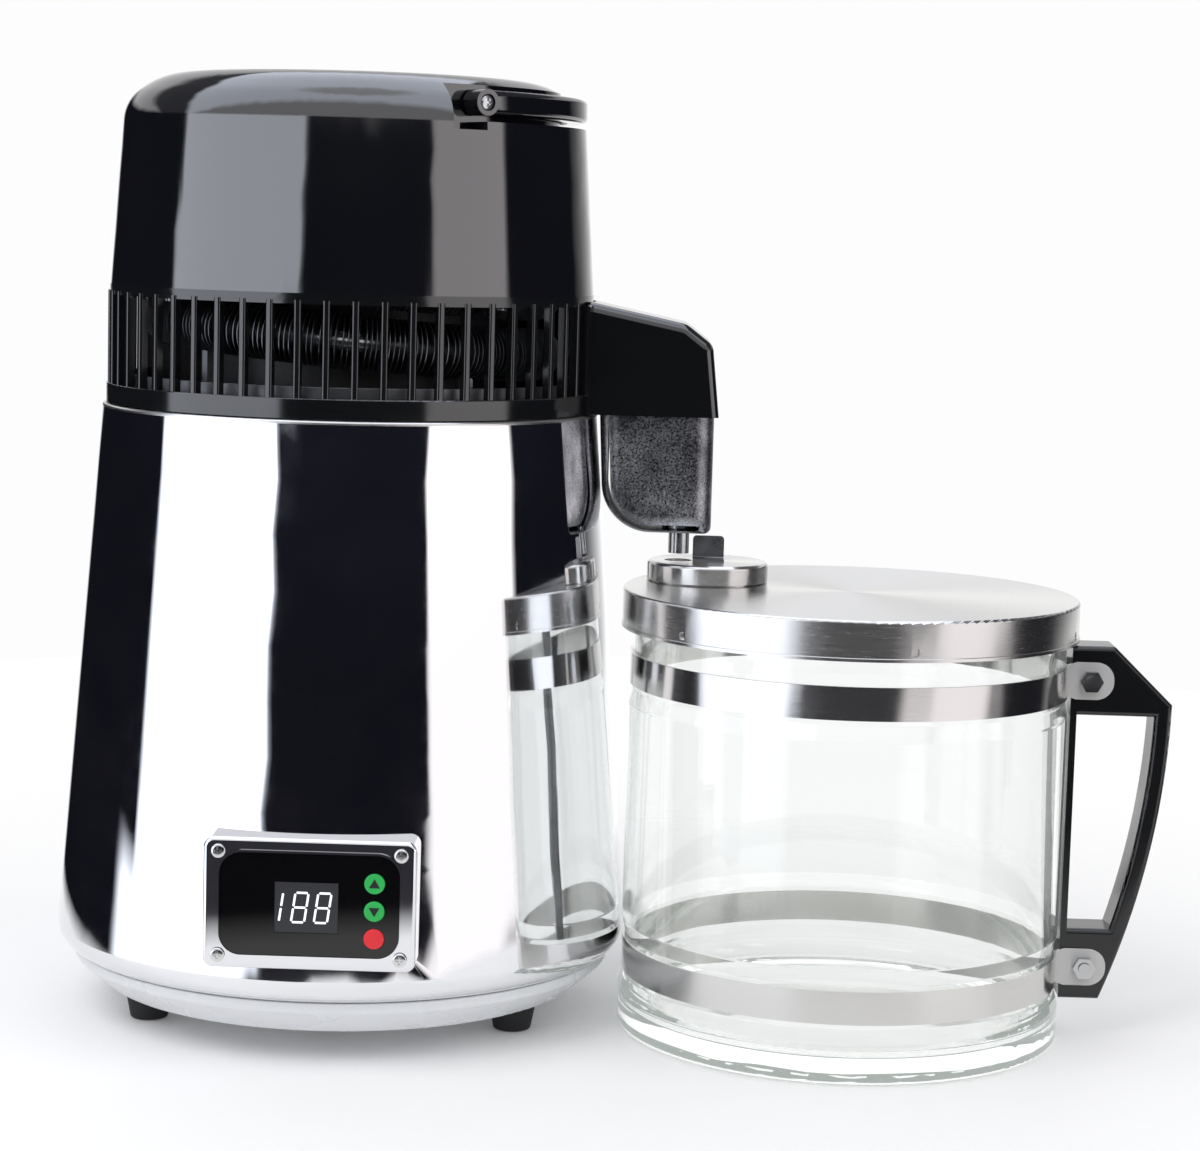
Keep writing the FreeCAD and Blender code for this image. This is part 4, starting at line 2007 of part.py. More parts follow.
def main():
    rubber_feet()
    base_pan()
    outer_shell()
    boiler_pot()
    pot_fixings()
    heat_spreader()
    heating_element()
    thermostat()
    thermal_fuse()
    panel_frame()
    panel_window()
    display_module()
    control_board()
    board_screws()
    button_switches()
    buttons()
    panel_screws()
    inlet_housing()
    inlet_socket()
    inlet_pins()
    inlet_screws()
    coupler()
    head_plate()
    plate_screws()
    grille_ring()
    dome_screws()
    head_dome()
    carry_handle()
    handle_screws()
    spout_arm()
    spout_nozzle()
    spout_inside()
    condenser()
    vapour_fitting()
    air_baffle()
    fan()
    fan_bracket()
    glass_jar()
    bands()
    jar_handle()
    band_fasteners()
    jar_lid()
    lid_seal()
    jar_cap()
    cap_tab()
    check_document()
    os.makedirs("parts", exist_ok=True)
    for item in nodes:
        item.Shape.exportStep("parts/%s.step" % item.Label)
        print("%-18s solids %3d volume %10.0f" % (item.Label, len(item.Shape.Solids), item.Shape.Volume))


main()
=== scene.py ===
import json
import math

import bmesh
import bpy
from mathutils import Matrix, Vector


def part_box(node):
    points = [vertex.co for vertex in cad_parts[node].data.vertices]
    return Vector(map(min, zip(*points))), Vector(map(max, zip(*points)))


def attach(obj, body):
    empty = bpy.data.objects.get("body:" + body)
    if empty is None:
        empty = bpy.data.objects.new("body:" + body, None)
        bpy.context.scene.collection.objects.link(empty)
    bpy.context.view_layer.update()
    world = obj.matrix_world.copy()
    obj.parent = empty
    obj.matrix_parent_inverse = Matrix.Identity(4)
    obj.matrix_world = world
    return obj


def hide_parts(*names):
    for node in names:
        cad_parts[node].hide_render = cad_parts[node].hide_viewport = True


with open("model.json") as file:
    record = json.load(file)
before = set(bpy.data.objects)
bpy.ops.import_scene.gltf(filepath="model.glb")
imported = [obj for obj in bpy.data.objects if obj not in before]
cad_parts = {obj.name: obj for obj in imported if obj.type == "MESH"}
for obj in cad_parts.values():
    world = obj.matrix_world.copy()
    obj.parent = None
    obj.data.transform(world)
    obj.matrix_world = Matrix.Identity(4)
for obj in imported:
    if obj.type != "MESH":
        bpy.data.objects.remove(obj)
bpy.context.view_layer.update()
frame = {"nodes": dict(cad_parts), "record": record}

bl_info = {
    "name": "Countertop Water Distiller",
    "version": (1, 0, 0),
    "blender": (4, 5, 0),
    "location": "View3D > Sidebar > Distiller",
    "description": "Dresses a countertop water distiller: boiler, finned head, spout and glass carafe",
    "category": "Object",
}

MM = 0.001
BODY_OF = {node: body for body, nodes in frame["record"]["behaviour"]["bodies"].items() for node in nodes}


def middle_of(node):
    """The upright axis of a turned piece, as a point on the worktop."""
    low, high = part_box(node)
    return Vector(((low.x + high.x) / 2, (low.y + high.y) / 2, 0.0))


BOILER = middle_of("base_pan")
JAR = middle_of("glass_jar")
CAP = middle_of("jar_cap")


# Colours and materials

def linear(text):
    """An sRGB hex colour as linear RGBA."""
    def channel(value):
        return value / 12.92 if value <= 0.04045 else ((value + 0.055) / 1.055) ** 2.4
    values = [int(text[start:start + 2], 16) / 255.0 for start in (0, 2, 4)]
    return tuple(channel(value) for value in values) + (1.0,)


def connect(tree, node, inputs):
    """Give a node's sockets plain values or other nodes' outputs."""
    for socket, value in inputs.items():
        if isinstance(value, bpy.types.NodeSocket):
            tree.links.new(value, node.inputs[socket])
        else:
            node.inputs[socket].default_value = value


def add(tree, kind, inputs=None, **settings):
    """Add a node with its properties, and give its sockets their values and links."""
    node = tree.nodes.new(kind)
    for name, value in settings.items():
        setattr(node, name, value)
    connect(tree, node, inputs or {})
    return node


def blank_material(name, **shader_values):
    """A new material with its shader and output, and the object's own coordinates."""
    material = bpy.data.materials.new(name)
    material.use_nodes = True
    tree = material.node_tree
    tree.nodes.clear()
    values = {key.replace("_", " "): value for key, value in shader_values.items()}
    shader = add(tree, "ShaderNodeBsdfPrincipled", values)
    add(tree, "ShaderNodeOutputMaterial", {"Surface": shader.outputs["BSDF"]})
    place = add(tree, "ShaderNodeTexCoord").outputs["Object"]
    return material, tree, shader, place


def tinted(tree, place, scale, low, high):
    """A colour that drifts between two hex colours over a distance of one over the scale, in metres."""
    cloud = add(tree, "ShaderNodeTexNoise", {"Vector": place, "Scale": scale, "Detail": 4.0}).outputs["Fac"]
    colours = {"Factor": cloud, 6: linear(low), 7: linear(high)}
    return add(tree, "ShaderNodeMix", colours, data_type="RGBA").outputs[2]


def clouded(tree, shader, place, scale, low, high, smooth, rough):
    """Slow clouds in which the colour drifts from low to high and the roughness from smooth to rough."""
    cloud = add(tree, "ShaderNodeTexNoise", {"Vector": place, "Scale": scale, "Detail": 5.0}).outputs["Fac"]
    tint = add(tree, "ShaderNodeMix", {"Factor": cloud, 6: low, 7: high}, data_type="RGBA")
    sheen = add(tree, "ShaderNodeMapRange", {
        "Value": cloud, "From Min": 0.3, "From Max": 0.7, "To Min": smooth, "To Max": rough,
    })
    connect(tree, shader, {"Base Color": tint.outputs[2], "Roughness": sheen.outputs["Result"]})


def rippled(tree, shader, place, scale, detail, strength, depth):
    """A fine relief, up to a depth in millimetres, that bends the highlights."""
    relief = add(tree, "ShaderNodeTexNoise", {"Vector": place, "Scale": scale, "Detail": detail})
    bump = add(tree, "ShaderNodeBump", {
        "Height": relief.outputs["Fac"], "Strength": strength, "Distance": depth * MM,
    })
    connect(tree, shader, {"Normal": bump.outputs["Normal"]})


def mirror_polished_steel(name="mirror_polished_steel", colour="e9eaec", wipe=0.05):
    """Stainless sheet buffed to a mirror: a clear picture of the room, with faint wipe marks and waves."""
    material, tree, shader, place = blank_material(name, Base_Color=linear(colour), Metallic=1.0)
    # wipe marks about 25 mm across
    marks = add(tree, "ShaderNodeTexNoise", {
        "Vector": place, "Scale": 40.0, "Detail": 6.0, "Roughness": 0.7,
    }).outputs["Fac"]
    haze = add(tree, "ShaderNodeMapRange", {
        "Value": marks, "From Min": 0.35, "From Max": 0.75, "To Min": wipe * 0.45, "To Max": wipe * 1.6,
    })
    connect(tree, shader, {"Roughness": haze.outputs["Result"]})
    # the drawn sheet's slow waves, about 60 mm long up the wall and longer round it
    run = add(tree, "ShaderNodeMapping", {"Vector": place, "Scale": (1.0, 1.0, 1.6)}).outputs["Vector"]
    rippled(tree, shader, run, 11.0, 0.0, 0.12, 1.2)
    return material


def brushed_steel(name, axis, colour, roughness, line=0.4, lean=0.8):
    """Stainless sheet brushed round an upright axis: fine rings that draw highlights out across them."""
    material, tree, shader, place = blank_material(
        name, Base_Color=linear(colour), Metallic=1.0, Anisotropic=lean, Anisotropic_Rotation=0.25,
    )
    # rings are real at 0.1 mm and are drawn about 0.4 mm wide, so that they show
    out = add(tree, "ShaderNodeVectorMath", {0: place, 1: axis}, operation="SUBTRACT").outputs["Vector"]
    level = {0: out, 1: (1.0, 1.0, 0.0)}
    flat = add(tree, "ShaderNodeVectorMath", level, operation="MULTIPLY").outputs["Vector"]
    radius = add(tree, "ShaderNodeVectorMath", {0: flat}, operation="LENGTH").outputs["Value"]
    parts = add(tree, "ShaderNodeSeparateXYZ", {"Vector": out}).outputs
    turn = add(tree, "ShaderNodeMath", {0: parts["Y"], 1: parts["X"]}, operation="ARCTAN2").outputs["Value"]
    slow = add(tree, "ShaderNodeMath", {0: turn, 1: 0.004}, operation="MULTIPLY").outputs["Value"]
    rings = add(tree, "ShaderNodeCombineXYZ", {"X": radius, "Y": slow, "Z": parts["Z"]}).outputs["Vector"]
    grain = add(tree, "ShaderNodeTexNoise", {
        "Vector": rings, "Scale": 1.0 / (line * MM), "Detail": 3.0, "Roughness": 0.65,
    }).outputs["Fac"]
    shade = add(tree, "ShaderNodeMapRange", {
        "Value": grain, "From Min": 0.3, "From Max": 0.7,
        "To Min": roughness * 0.88, "To Max": roughness * 1.15,
    }).outputs["Result"]
    # flat ears and tabs, which face across the rings, are left duller
    facing = add(tree, "ShaderNodeTexCoord").outputs["Normal"]
    outward = add(tree, "ShaderNodeVectorMath", {0: flat}, operation="NORMALIZE").outputs["Vector"]
    both = {0: facing, 1: outward}
    across = add(tree, "ShaderNodeVectorMath", both, operation="DOT_PRODUCT").outputs["Value"]
    upward = add(tree, "ShaderNodeSeparateXYZ", {"Vector": facing}).outputs["Z"]
    across, upward = [
        add(tree, "ShaderNodeMath", {0: value}, operation="ABSOLUTE").outputs["Value"]
        for value in (across, upward)
    ]
    best = add(tree, "ShaderNodeMath", {0: across, 1: upward}, operation="MAXIMUM").outputs["Value"]
    dull = add(tree, "ShaderNodeMapRange", {
        "Value": best, "From Min": 0.3, "From Max": 0.6, "To Min": 0.4, "To Max": 0.0,
    }).outputs["Result"]
    rough = add(tree, "ShaderNodeMath", {0: shade, 1: dull}, operation="ADD").outputs["Value"]
    bump = add(tree, "ShaderNodeBump", {"Height": grain, "Strength": 0.06, "Distance": 0.02 * MM})
    # the brushing runs round the axis
    both = {0: (0.0, 0.0, 1.0), 1: flat}
    along = add(tree, "ShaderNodeVectorMath", both, operation="CROSS_PRODUCT").outputs["Vector"]
    world = add(
        tree, "ShaderNodeVectorTransform", {"Vector": along},
        vector_type="VECTOR", convert_from="OBJECT", convert_to="WORLD",
    )
    connect(tree, shader, {
        "Roughness": rough, "Normal": bump.outputs["Normal"], "Tangent": world.outputs["Vector"],
    })
    return material


def plain_metal(name, colour, roughness, grain=0.6, depth=0.02):
    """Small steel, zinc or aluminium parts: a soft metallic sheen with a fine tooled grain."""
    material, tree, shader, place = blank_material(name, Metallic=1.0)
    base = linear(colour)
    dark = tuple(value * 0.82 for value in base[:3]) + (1.0,)
    clouded(tree, shader, place, 1.0 / (grain * 12 * MM), dark, base, roughness * 0.75, roughness * 1.3)
    rippled(tree, shader, place, 1.0 / (grain * MM), 2.0, 0.2, depth)
    return material


def sand_cast_metal(name="sand_cast_metal", pore="5e5f63", face="c8c9cc"):
    """The spout's polished casting: dark pores and worn bright spots under a rubbed metallic face."""
    material, tree, shader, place = blank_material(name, Metallic=1.0)
    # pores near 0.8 mm across over clouds of about 20 mm
    pores = add(tree, "ShaderNodeTexNoise", {
        "Vector": place, "Scale": 1250.0, "Detail": 5.0, "Roughness": 0.6,
    }).outputs["Fac"]
    clouds = add(tree, "ShaderNodeTexNoise", {"Vector": place, "Scale": 55.0, "Detail": 3.0}).outputs["Fac"]
    both = add(tree, "ShaderNodeMath", {0: pores, 1: clouds}, operation="MULTIPLY").outputs["Value"]
    colours = add(tree, "ShaderNodeValToRGB", {"Fac": both})
    for element, position, colour in zip(colours.color_ramp.elements, (0.16, 0.42), (pore, face)):
        element.position = position
        element.color = linear(colour)
    sheen = add(tree, "ShaderNodeMapRange", {
        "Value": pores, "From Min": 0.35, "From Max": 0.7, "To Min": 0.26, "To Max": 0.46,
    })
    bump = add(tree, "ShaderNodeBump", {"Height": pores, "Strength": 0.35, "Distance": 0.04 * MM})
    connect(tree, shader, {
        "Base Color": colours.outputs["Color"], "Roughness": sheen.outputs["Result"],
        "Normal": bump.outputs["Normal"],
    })
    return material


def moulded_plastic(name, colour, roughness, peel=2.4, depth=0.012, drift=0.12, ior=1.54):
    """Moulded ABS: an even body colour under a skin whose slight orange peel ripples the highlights."""
    material, tree, shader, place = blank_material(name, IOR=ior)
    base = linear(colour)
    pale = tuple(min(1.0, value * (1 + drift) + 0.0006) for value in base[:3]) + (1.0,)
    # clouds about 35 mm across
    clouded(tree, shader, place, 28.0, base, pale, roughness * 0.85, roughness * 1.2)
    rippled(tree, shader, place, 1.0 / (peel * MM), 1.5, 0.35, depth)
    return material


def moulded_rubber(name="moulded_rubber", low="131315", high="1f1f21"):
    """Black rubber: dull, with a fine powdery grain that takes no clear highlight."""
    material, tree, shader, place = blank_material(name, Roughness=0.72, IOR=1.5)
    connect(tree, shader, {"Base Color": tinted(tree, place, 120.0, low, high)})
    # grains about 0.7 mm across
    rippled(tree, shader, place, 1400.0, 3.0, 0.4, 0.05)
    return material


def pressed_glass(colour, name="pressed_glass"):
    """Pressed soda glass: colourless through a wall, with slow ripples, and a faint pale green painted glow
    in its thick base.
    """
    material, tree, shader, place = blank_material(
        name, Base_Color=linear(colour), Roughness=0.0, IOR=1.5, Transmission_Weight=1.0,
        # the pale green emission colour is the colour of the painted glow set below
        Emission_Color=linear("e6efea"),
    )
    # ripples from the mould about 20 mm long
    rippled(tree, shader, place, 45.0, 1.0, 0.1, 0.12)
    # painted glow: where a reflection ray meets an inner face, the glass gives off a little pale green
    # light of its own, standing in for light caught between the faces of the thick base
    inside = add(tree, "ShaderNodeNewGeometry").outputs["Backfacing"]
    turned_back = add(tree, "ShaderNodeLightPath").outputs["Is Reflection Ray"]
    both = {0: inside, 1: turned_back}
    painted_glow_mask = add(tree, "ShaderNodeMath", both, operation="MULTIPLY").outputs["Value"]
    # the strength of the painted glow
    pale = add(tree, "ShaderNodeMath", {0: painted_glow_mask, 1: 0.1}, operation="MULTIPLY").outputs["Value"]
    connect(tree, shader, {"Emission Strength": pale})
    return material


def lit_segment(name="lit_segment", glow=0.5):
    """A lit display segment: a pale cool white that gives a little light of its own."""
    material, tree, shader, place = blank_material(name, Roughness=0.4, Emission_Strength=glow)
    shade = tinted(tree, place, 900.0, "e4e8ec", "f2f4f6")
    connect(tree, shader, {"Base Color": shade, "Emission Color": shade})
    return material


# Meshes

def finish_mesh(mesh, sharp=32.0):
    """Smooth a mesh's faces and keep its corners sharp."""
    work = bmesh.new()
    work.from_mesh(mesh)
    limit = math.radians(sharp)
    for face in work.faces:
        face.smooth = True
    for edge in work.edges:
        edge.smooth = len(edge.link_faces) == 2 and edge.calc_face_angle(0.0) < limit
    work.to_mesh(mesh)
    work.free()


def settled(thing):
    """The thing's mesh with its modifiers worked in, as a plain mesh that the thing then holds alone."""
    bpy.context.view_layer.update()
    graph = bpy.context.evaluated_depsgraph_get()
    result = bpy.data.meshes.new_from_object(
        thing.evaluated_get(graph), preserve_all_data_layers=True, depsgraph=graph,
    )
    old = thing.data
    thing.modifiers.clear()
    thing.data = result
    result.name = thing.name
    if old.users == 0:
        bpy.data.meshes.remove(old)
    return thing


def new_piece(name, mesh, material, body):
    """Put a finished mesh in the scene, give it its material and let it ride on its body."""
    mesh.materials.clear()
    mesh.materials.append(material)
    thing = bpy.data.objects.new(name, mesh)
    bpy.context.scene.collection.objects.link(thing)
    return seat(thing, body)


def seat(thing, body, stands_for=()):
    """Let a piece ride on its body, and hide the nodes it stands for."""
    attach(thing, body)
    if stands_for:
        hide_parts(*stands_for)
    return thing


def smooth_twin(node, material):
    """A welded copy of a solid with smooth curved faces and sharp corners, which stands for it."""
    mesh = frame["nodes"][node].data.copy()
    work = bmesh.new()
    work.from_mesh(mesh)
    bmesh.ops.remove_doubles(work, verts=work.verts, dist=0.002 * MM)
    bmesh.ops.dissolve_degenerate(work, edges=work.edges, dist=0.0005 * MM)
    bmesh.ops.recalc_face_normals(work, faces=work.faces)
    work.to_mesh(mesh)
    work.free()
    finish_mesh(mesh)
    for polygon in mesh.polygons:
        polygon.material_index = 0
    mesh.materials.clear()
    mesh.materials.append(material)
    thing = bpy.data.objects.new(node + "_skin", mesh)
    bpy.context.scene.collection.objects.link(thing)
    weight = thing.modifiers.new("weight", "WEIGHTED_NORMAL")
    weight.mode = "FACE_AREA"
    weight.keep_sharp = True
    weight.weight = 50
    settled(thing)
    return seat(thing, BODY_OF[node], [node])


def paint(material, *nodes):
    """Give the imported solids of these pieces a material."""
    for node in nodes:
        mesh = frame["nodes"][node].data
        mesh.materials.clear()
        mesh.materials.append(material)
        for polygon in mesh.polygons:
            polygon.material_index = 0


def repeat_tree():
    """A tree that sets one shape on each point of a mesh, turned and stretched as the point says."""
    tree = bpy.data.node_groups.new("repeat_on_points", "GeometryNodeTree")
    sockets = {"Points": "Geometry", "Shape": "Object", "Size": "Float", "Finish": "Material"}
    for name, kind in sockets.items():
        tree.interface.new_socket(name, in_out="INPUT", socket_type="NodeSocket" + kind)
    tree.interface.new_socket("Result", in_out="OUTPUT", socket_type="NodeSocketGeometry")
    given = add(tree, "NodeGroupInput").outputs
    shape = add(tree, "GeometryNodeObjectInfo", {"Object": given["Shape"]})
    turn, stretch = [
        add(tree, "GeometryNodeInputNamedAttribute", {"Name": label}, data_type="FLOAT_VECTOR").outputs
        for label in ("turn", "stretch")
    ]
    sized = add(
        tree, "ShaderNodeVectorMath", {0: stretch["Attribute"], 3: given["Size"]}, operation="SCALE",
    )
    placed = add(tree, "GeometryNodeInstanceOnPoints", {
        "Points": given["Points"], "Instance": shape.outputs["Geometry"],
        "Rotation": turn["Attribute"], "Scale": sized.outputs["Vector"],
    })
    real = add(tree, "GeometryNodeRealizeInstances", {"Geometry": placed.outputs["Instances"]})
    finish = add(tree, "GeometryNodeSetMaterial", {
        "Geometry": real.outputs["Geometry"], "Material": given["Finish"],
    })
    add(tree, "NodeGroupOutput", {"Result": finish.outputs["Geometry"]})
    return tree


def repeated(name, shape, places, material, body, stands_for=(), size=1.0):
    """One shape repeated at places of (point, turn, stretch), as one plain mesh that rides on its body."""
    pattern = bpy.data.objects.new(name + "_shape", shape)
    points = bpy.data.meshes.new(name)
    points.from_pydata([place[0] for place in places], [], [])
    for index, label in ((1, "turn"), (2, "stretch")):
        values = points.attributes.new(label, "FLOAT_VECTOR", "POINT")
        for number, place in enumerate(places):
            values.data[number].vector = place[index]
    thing = bpy.data.objects.new(name, points)
    bpy.context.scene.collection.objects.link(pattern)
    bpy.context.scene.collection.objects.link(thing)
    tree = bpy.data.node_groups.get("repeat_on_points") or repeat_tree()
    nodes = thing.modifiers.new("repeat", "NODES")
    nodes.node_group = tree
    inputs = {item.name: item.identifier for item in tree.interface.items_tree if item.in_out == "INPUT"}
    nodes[inputs["Shape"]] = pattern
    nodes[inputs["Size"]] = size
    nodes[inputs["Finish"]] = material
    settled(thing)
    for label in ("turn", "stretch"):
        if label in thing.data.attributes:
            thing.data.attributes.remove(thing.data.attributes[label])
    bpy.data.objects.remove(pattern)
    bpy.data.meshes.remove(shape)
    finish_mesh(thing.data)
    return seat(thing, body, stands_for)


def built(name, work):
    """A mesh from a finished bmesh, with its normals outward."""
    bmesh.ops.recalc_face_normals(work, faces=work.faces)
    mesh = bpy.data.meshes.new(name)
    work.to_mesh(mesh)
    work.free()
    return mesh


def prism(name, outline, low, high):
    """A closed mesh with an outline of (x, z) points in millimetres that runs from one y to another."""
    work = bmesh.new()
    front = [work.verts.new((x * MM, low * MM, z * MM)) for x, z in outline]
    back = [work.verts.new((x * MM, high * MM, z * MM)) for x, z in outline]
    work.faces.new(front)
    work.faces.new(back)
    for number in range(len(outline)):
        after = (number + 1) % len(outline)
        work.faces.new((front[number], front[after], back[after], back[number]))
    return built(name, work)


def disc(name, radius, thickness, steps=24):
    """A thin round fin about its own X axis, in millimetres, with a bead round its rim."""
    half = [(0.0, 0.5), (0.9, 0.5), (0.96, 0.9), (1.0, 0.5)]
    section = half + [(out, -along) for out, along in reversed(half)]
    work = bmesh.new()
    rings = []
    for out, along in section:
        ring = []
        for number in range(steps if out else 1):
            angle = 2 * math.pi * number / steps
            reach = out * radius * MM
            spot = (along * thickness * MM, reach * math.cos(angle), reach * math.sin(angle))
            ring.append(work.verts.new(spot))
        rings.append(ring)
    for first, second in zip(rings, rings[1:]):
        for number in range(steps):
            after = (number + 1) % steps
            corners = [first[number % len(first)], second[number % len(second)]]
            corners += [second[after % len(second)], first[after % len(first)]]
            work.faces.new(list(dict.fromkeys(corners)))
    return built(name, work)


def cross_head(name, radius, height, shank):
    """A domed screw head with a cross recess, in millimetres, which looks along -Y from y = 0."""
    lines = [0.0, 0.11, 0.17, 0.3, 0.5, 0.56, 0.7, 0.85, 0.95, 1.0]
    lines = [-value for value in reversed(lines[1:])] + lines
    # the recess, as shares of the head's radius and height
    arm, reach, sunk = 0.15, 0.53, 0.62
    work = bmesh.new()
    grid = []
    for v in lines:
        row = []
        for u in lines:
            x, z = u * math.sqrt(1 - v * v / 2), v * math.sqrt(1 - u * u / 2)
            out = min(1.0, math.hypot(x, z))
            rise = 0.35 + 0.65 * math.sqrt(max(0.0, 1 - out ** 3))
            if (abs(u) < arm and abs(v) < reach) or (abs(v) < arm and abs(u) < reach):
                rise -= sunk
            row.append(work.verts.new((x * radius * MM, -rise * height * MM, z * radius * MM)))
        grid.append(row)
    for low_row, high_row in zip(grid, grid[1:]):
        for number in range(len(lines) - 1):
            work.faces.new((low_row[number], low_row[number + 1], high_row[number + 1], high_row[number]))
    # the skirt goes down to the seat, the seat in to half the radius, and the shank into the part
    for share, y in ((1.0, 0.0), (0.5, 0.0), (1.0, shank * MM)):
        rim = [edge for edge in work.edges if len(edge.link_faces) == 1]
        for item in bmesh.ops.extrude_edge_only(work, edges=rim)["geom"]:
            if isinstance(item, bmesh.types.BMVert):
                item.co = (item.co.x * share, y, item.co.z * share)
    bmesh.ops.holes_fill(work, edges=[edge for edge in work.edges if len(edge.link_faces) == 1])
    return built(name, work)


def loose_parts(node):
    """The middle of each separate solid of a node, in the order in which they were made."""
    work = bmesh.new()
    work.from_mesh(frame["nodes"][node].data)
    bmesh.ops.remove_doubles(work, verts=work.verts, dist=0.002 * MM)
    work.verts.ensure_lookup_table()
    seen = set()
    middles = []
    for start in work.verts:
        if start.index in seen:
            continue
        seen.add(start.index)
        waiting = [start]
        spots = []
        while waiting:
            vert = waiting.pop()
            spots.append(vert.co.copy())
            for edge in vert.link_edges:
                other = edge.other_vert(vert)
                if other.index not in seen:
                    seen.add(other.index)
                    waiting.append(other)
        lows = [min(spot[axis] for spot in spots) for axis in range(3)]
        highs = [max(spot[axis] for spot in spots) for axis in range(3)]
        middles.append((Vector(lows) + Vector(highs)) / 2)
    work.free()
    return middles


# Stage

def place_camera():
    """The camera, as fitted to the photograph."""
    stand = Vector((BOILER.x + 0.1233, -1.1939, 0.3183))
    heading = Vector((-0.0175, 0.99985, 0.0)).normalized()
    pitch, roll = math.radians(6.70), math.radians(1.57)
    data = bpy.data.cameras.new("camera")
    camera = bpy.data.objects.new("camera", data)
    bpy.context.scene.collection.objects.link(camera)
    data.sensor_fit = "HORIZONTAL"
    data.sensor_width = 36.0
    data.lens = 88.6
    data.clip_start = 0.05
    data.clip_end = 60.0
    ahead = heading * math.cos(pitch) - Vector((0.0, 0.0, math.sin(pitch)))
    right = ahead.cross(Vector((0.0, 0.0, 1.0))).normalized()
    up = right.cross(ahead)
    turn = Matrix.Rotation(-roll, 3, ahead)
    right, up = turn @ right, turn @ up
    camera.matrix_world = Matrix((
        (right.x, up.x, -ahead.x, stand.x),
        (right.y, up.y, -ahead.y, stand.y),
        (right.z, up.z, -ahead.z, stand.z),
        (0.0, 0.0, 0.0, 1.0),
    ))
    bpy.context.scene.camera = camera


def lamp(name, spot, target, side, power):
    """A square white lamp at a spot, turned towards a target."""
    data = bpy.data.lights.new(name, "AREA")
    data.shape = "RECTANGLE"
    data.size = side
    data.size_y = side
    data.energy = power
    thing = bpy.data.objects.new(name, data)
    bpy.context.scene.collection.objects.link(thing)
    ahead = (Vector(target) - Vector(spot)).normalized()
    thing.rotation_euler = ahead.to_track_quat("-Z", "Y").to_euler()
    thing.location = spot
    # polished surfaces mirror the studio's screens, not the lamps
    thing.visible_glossy = False


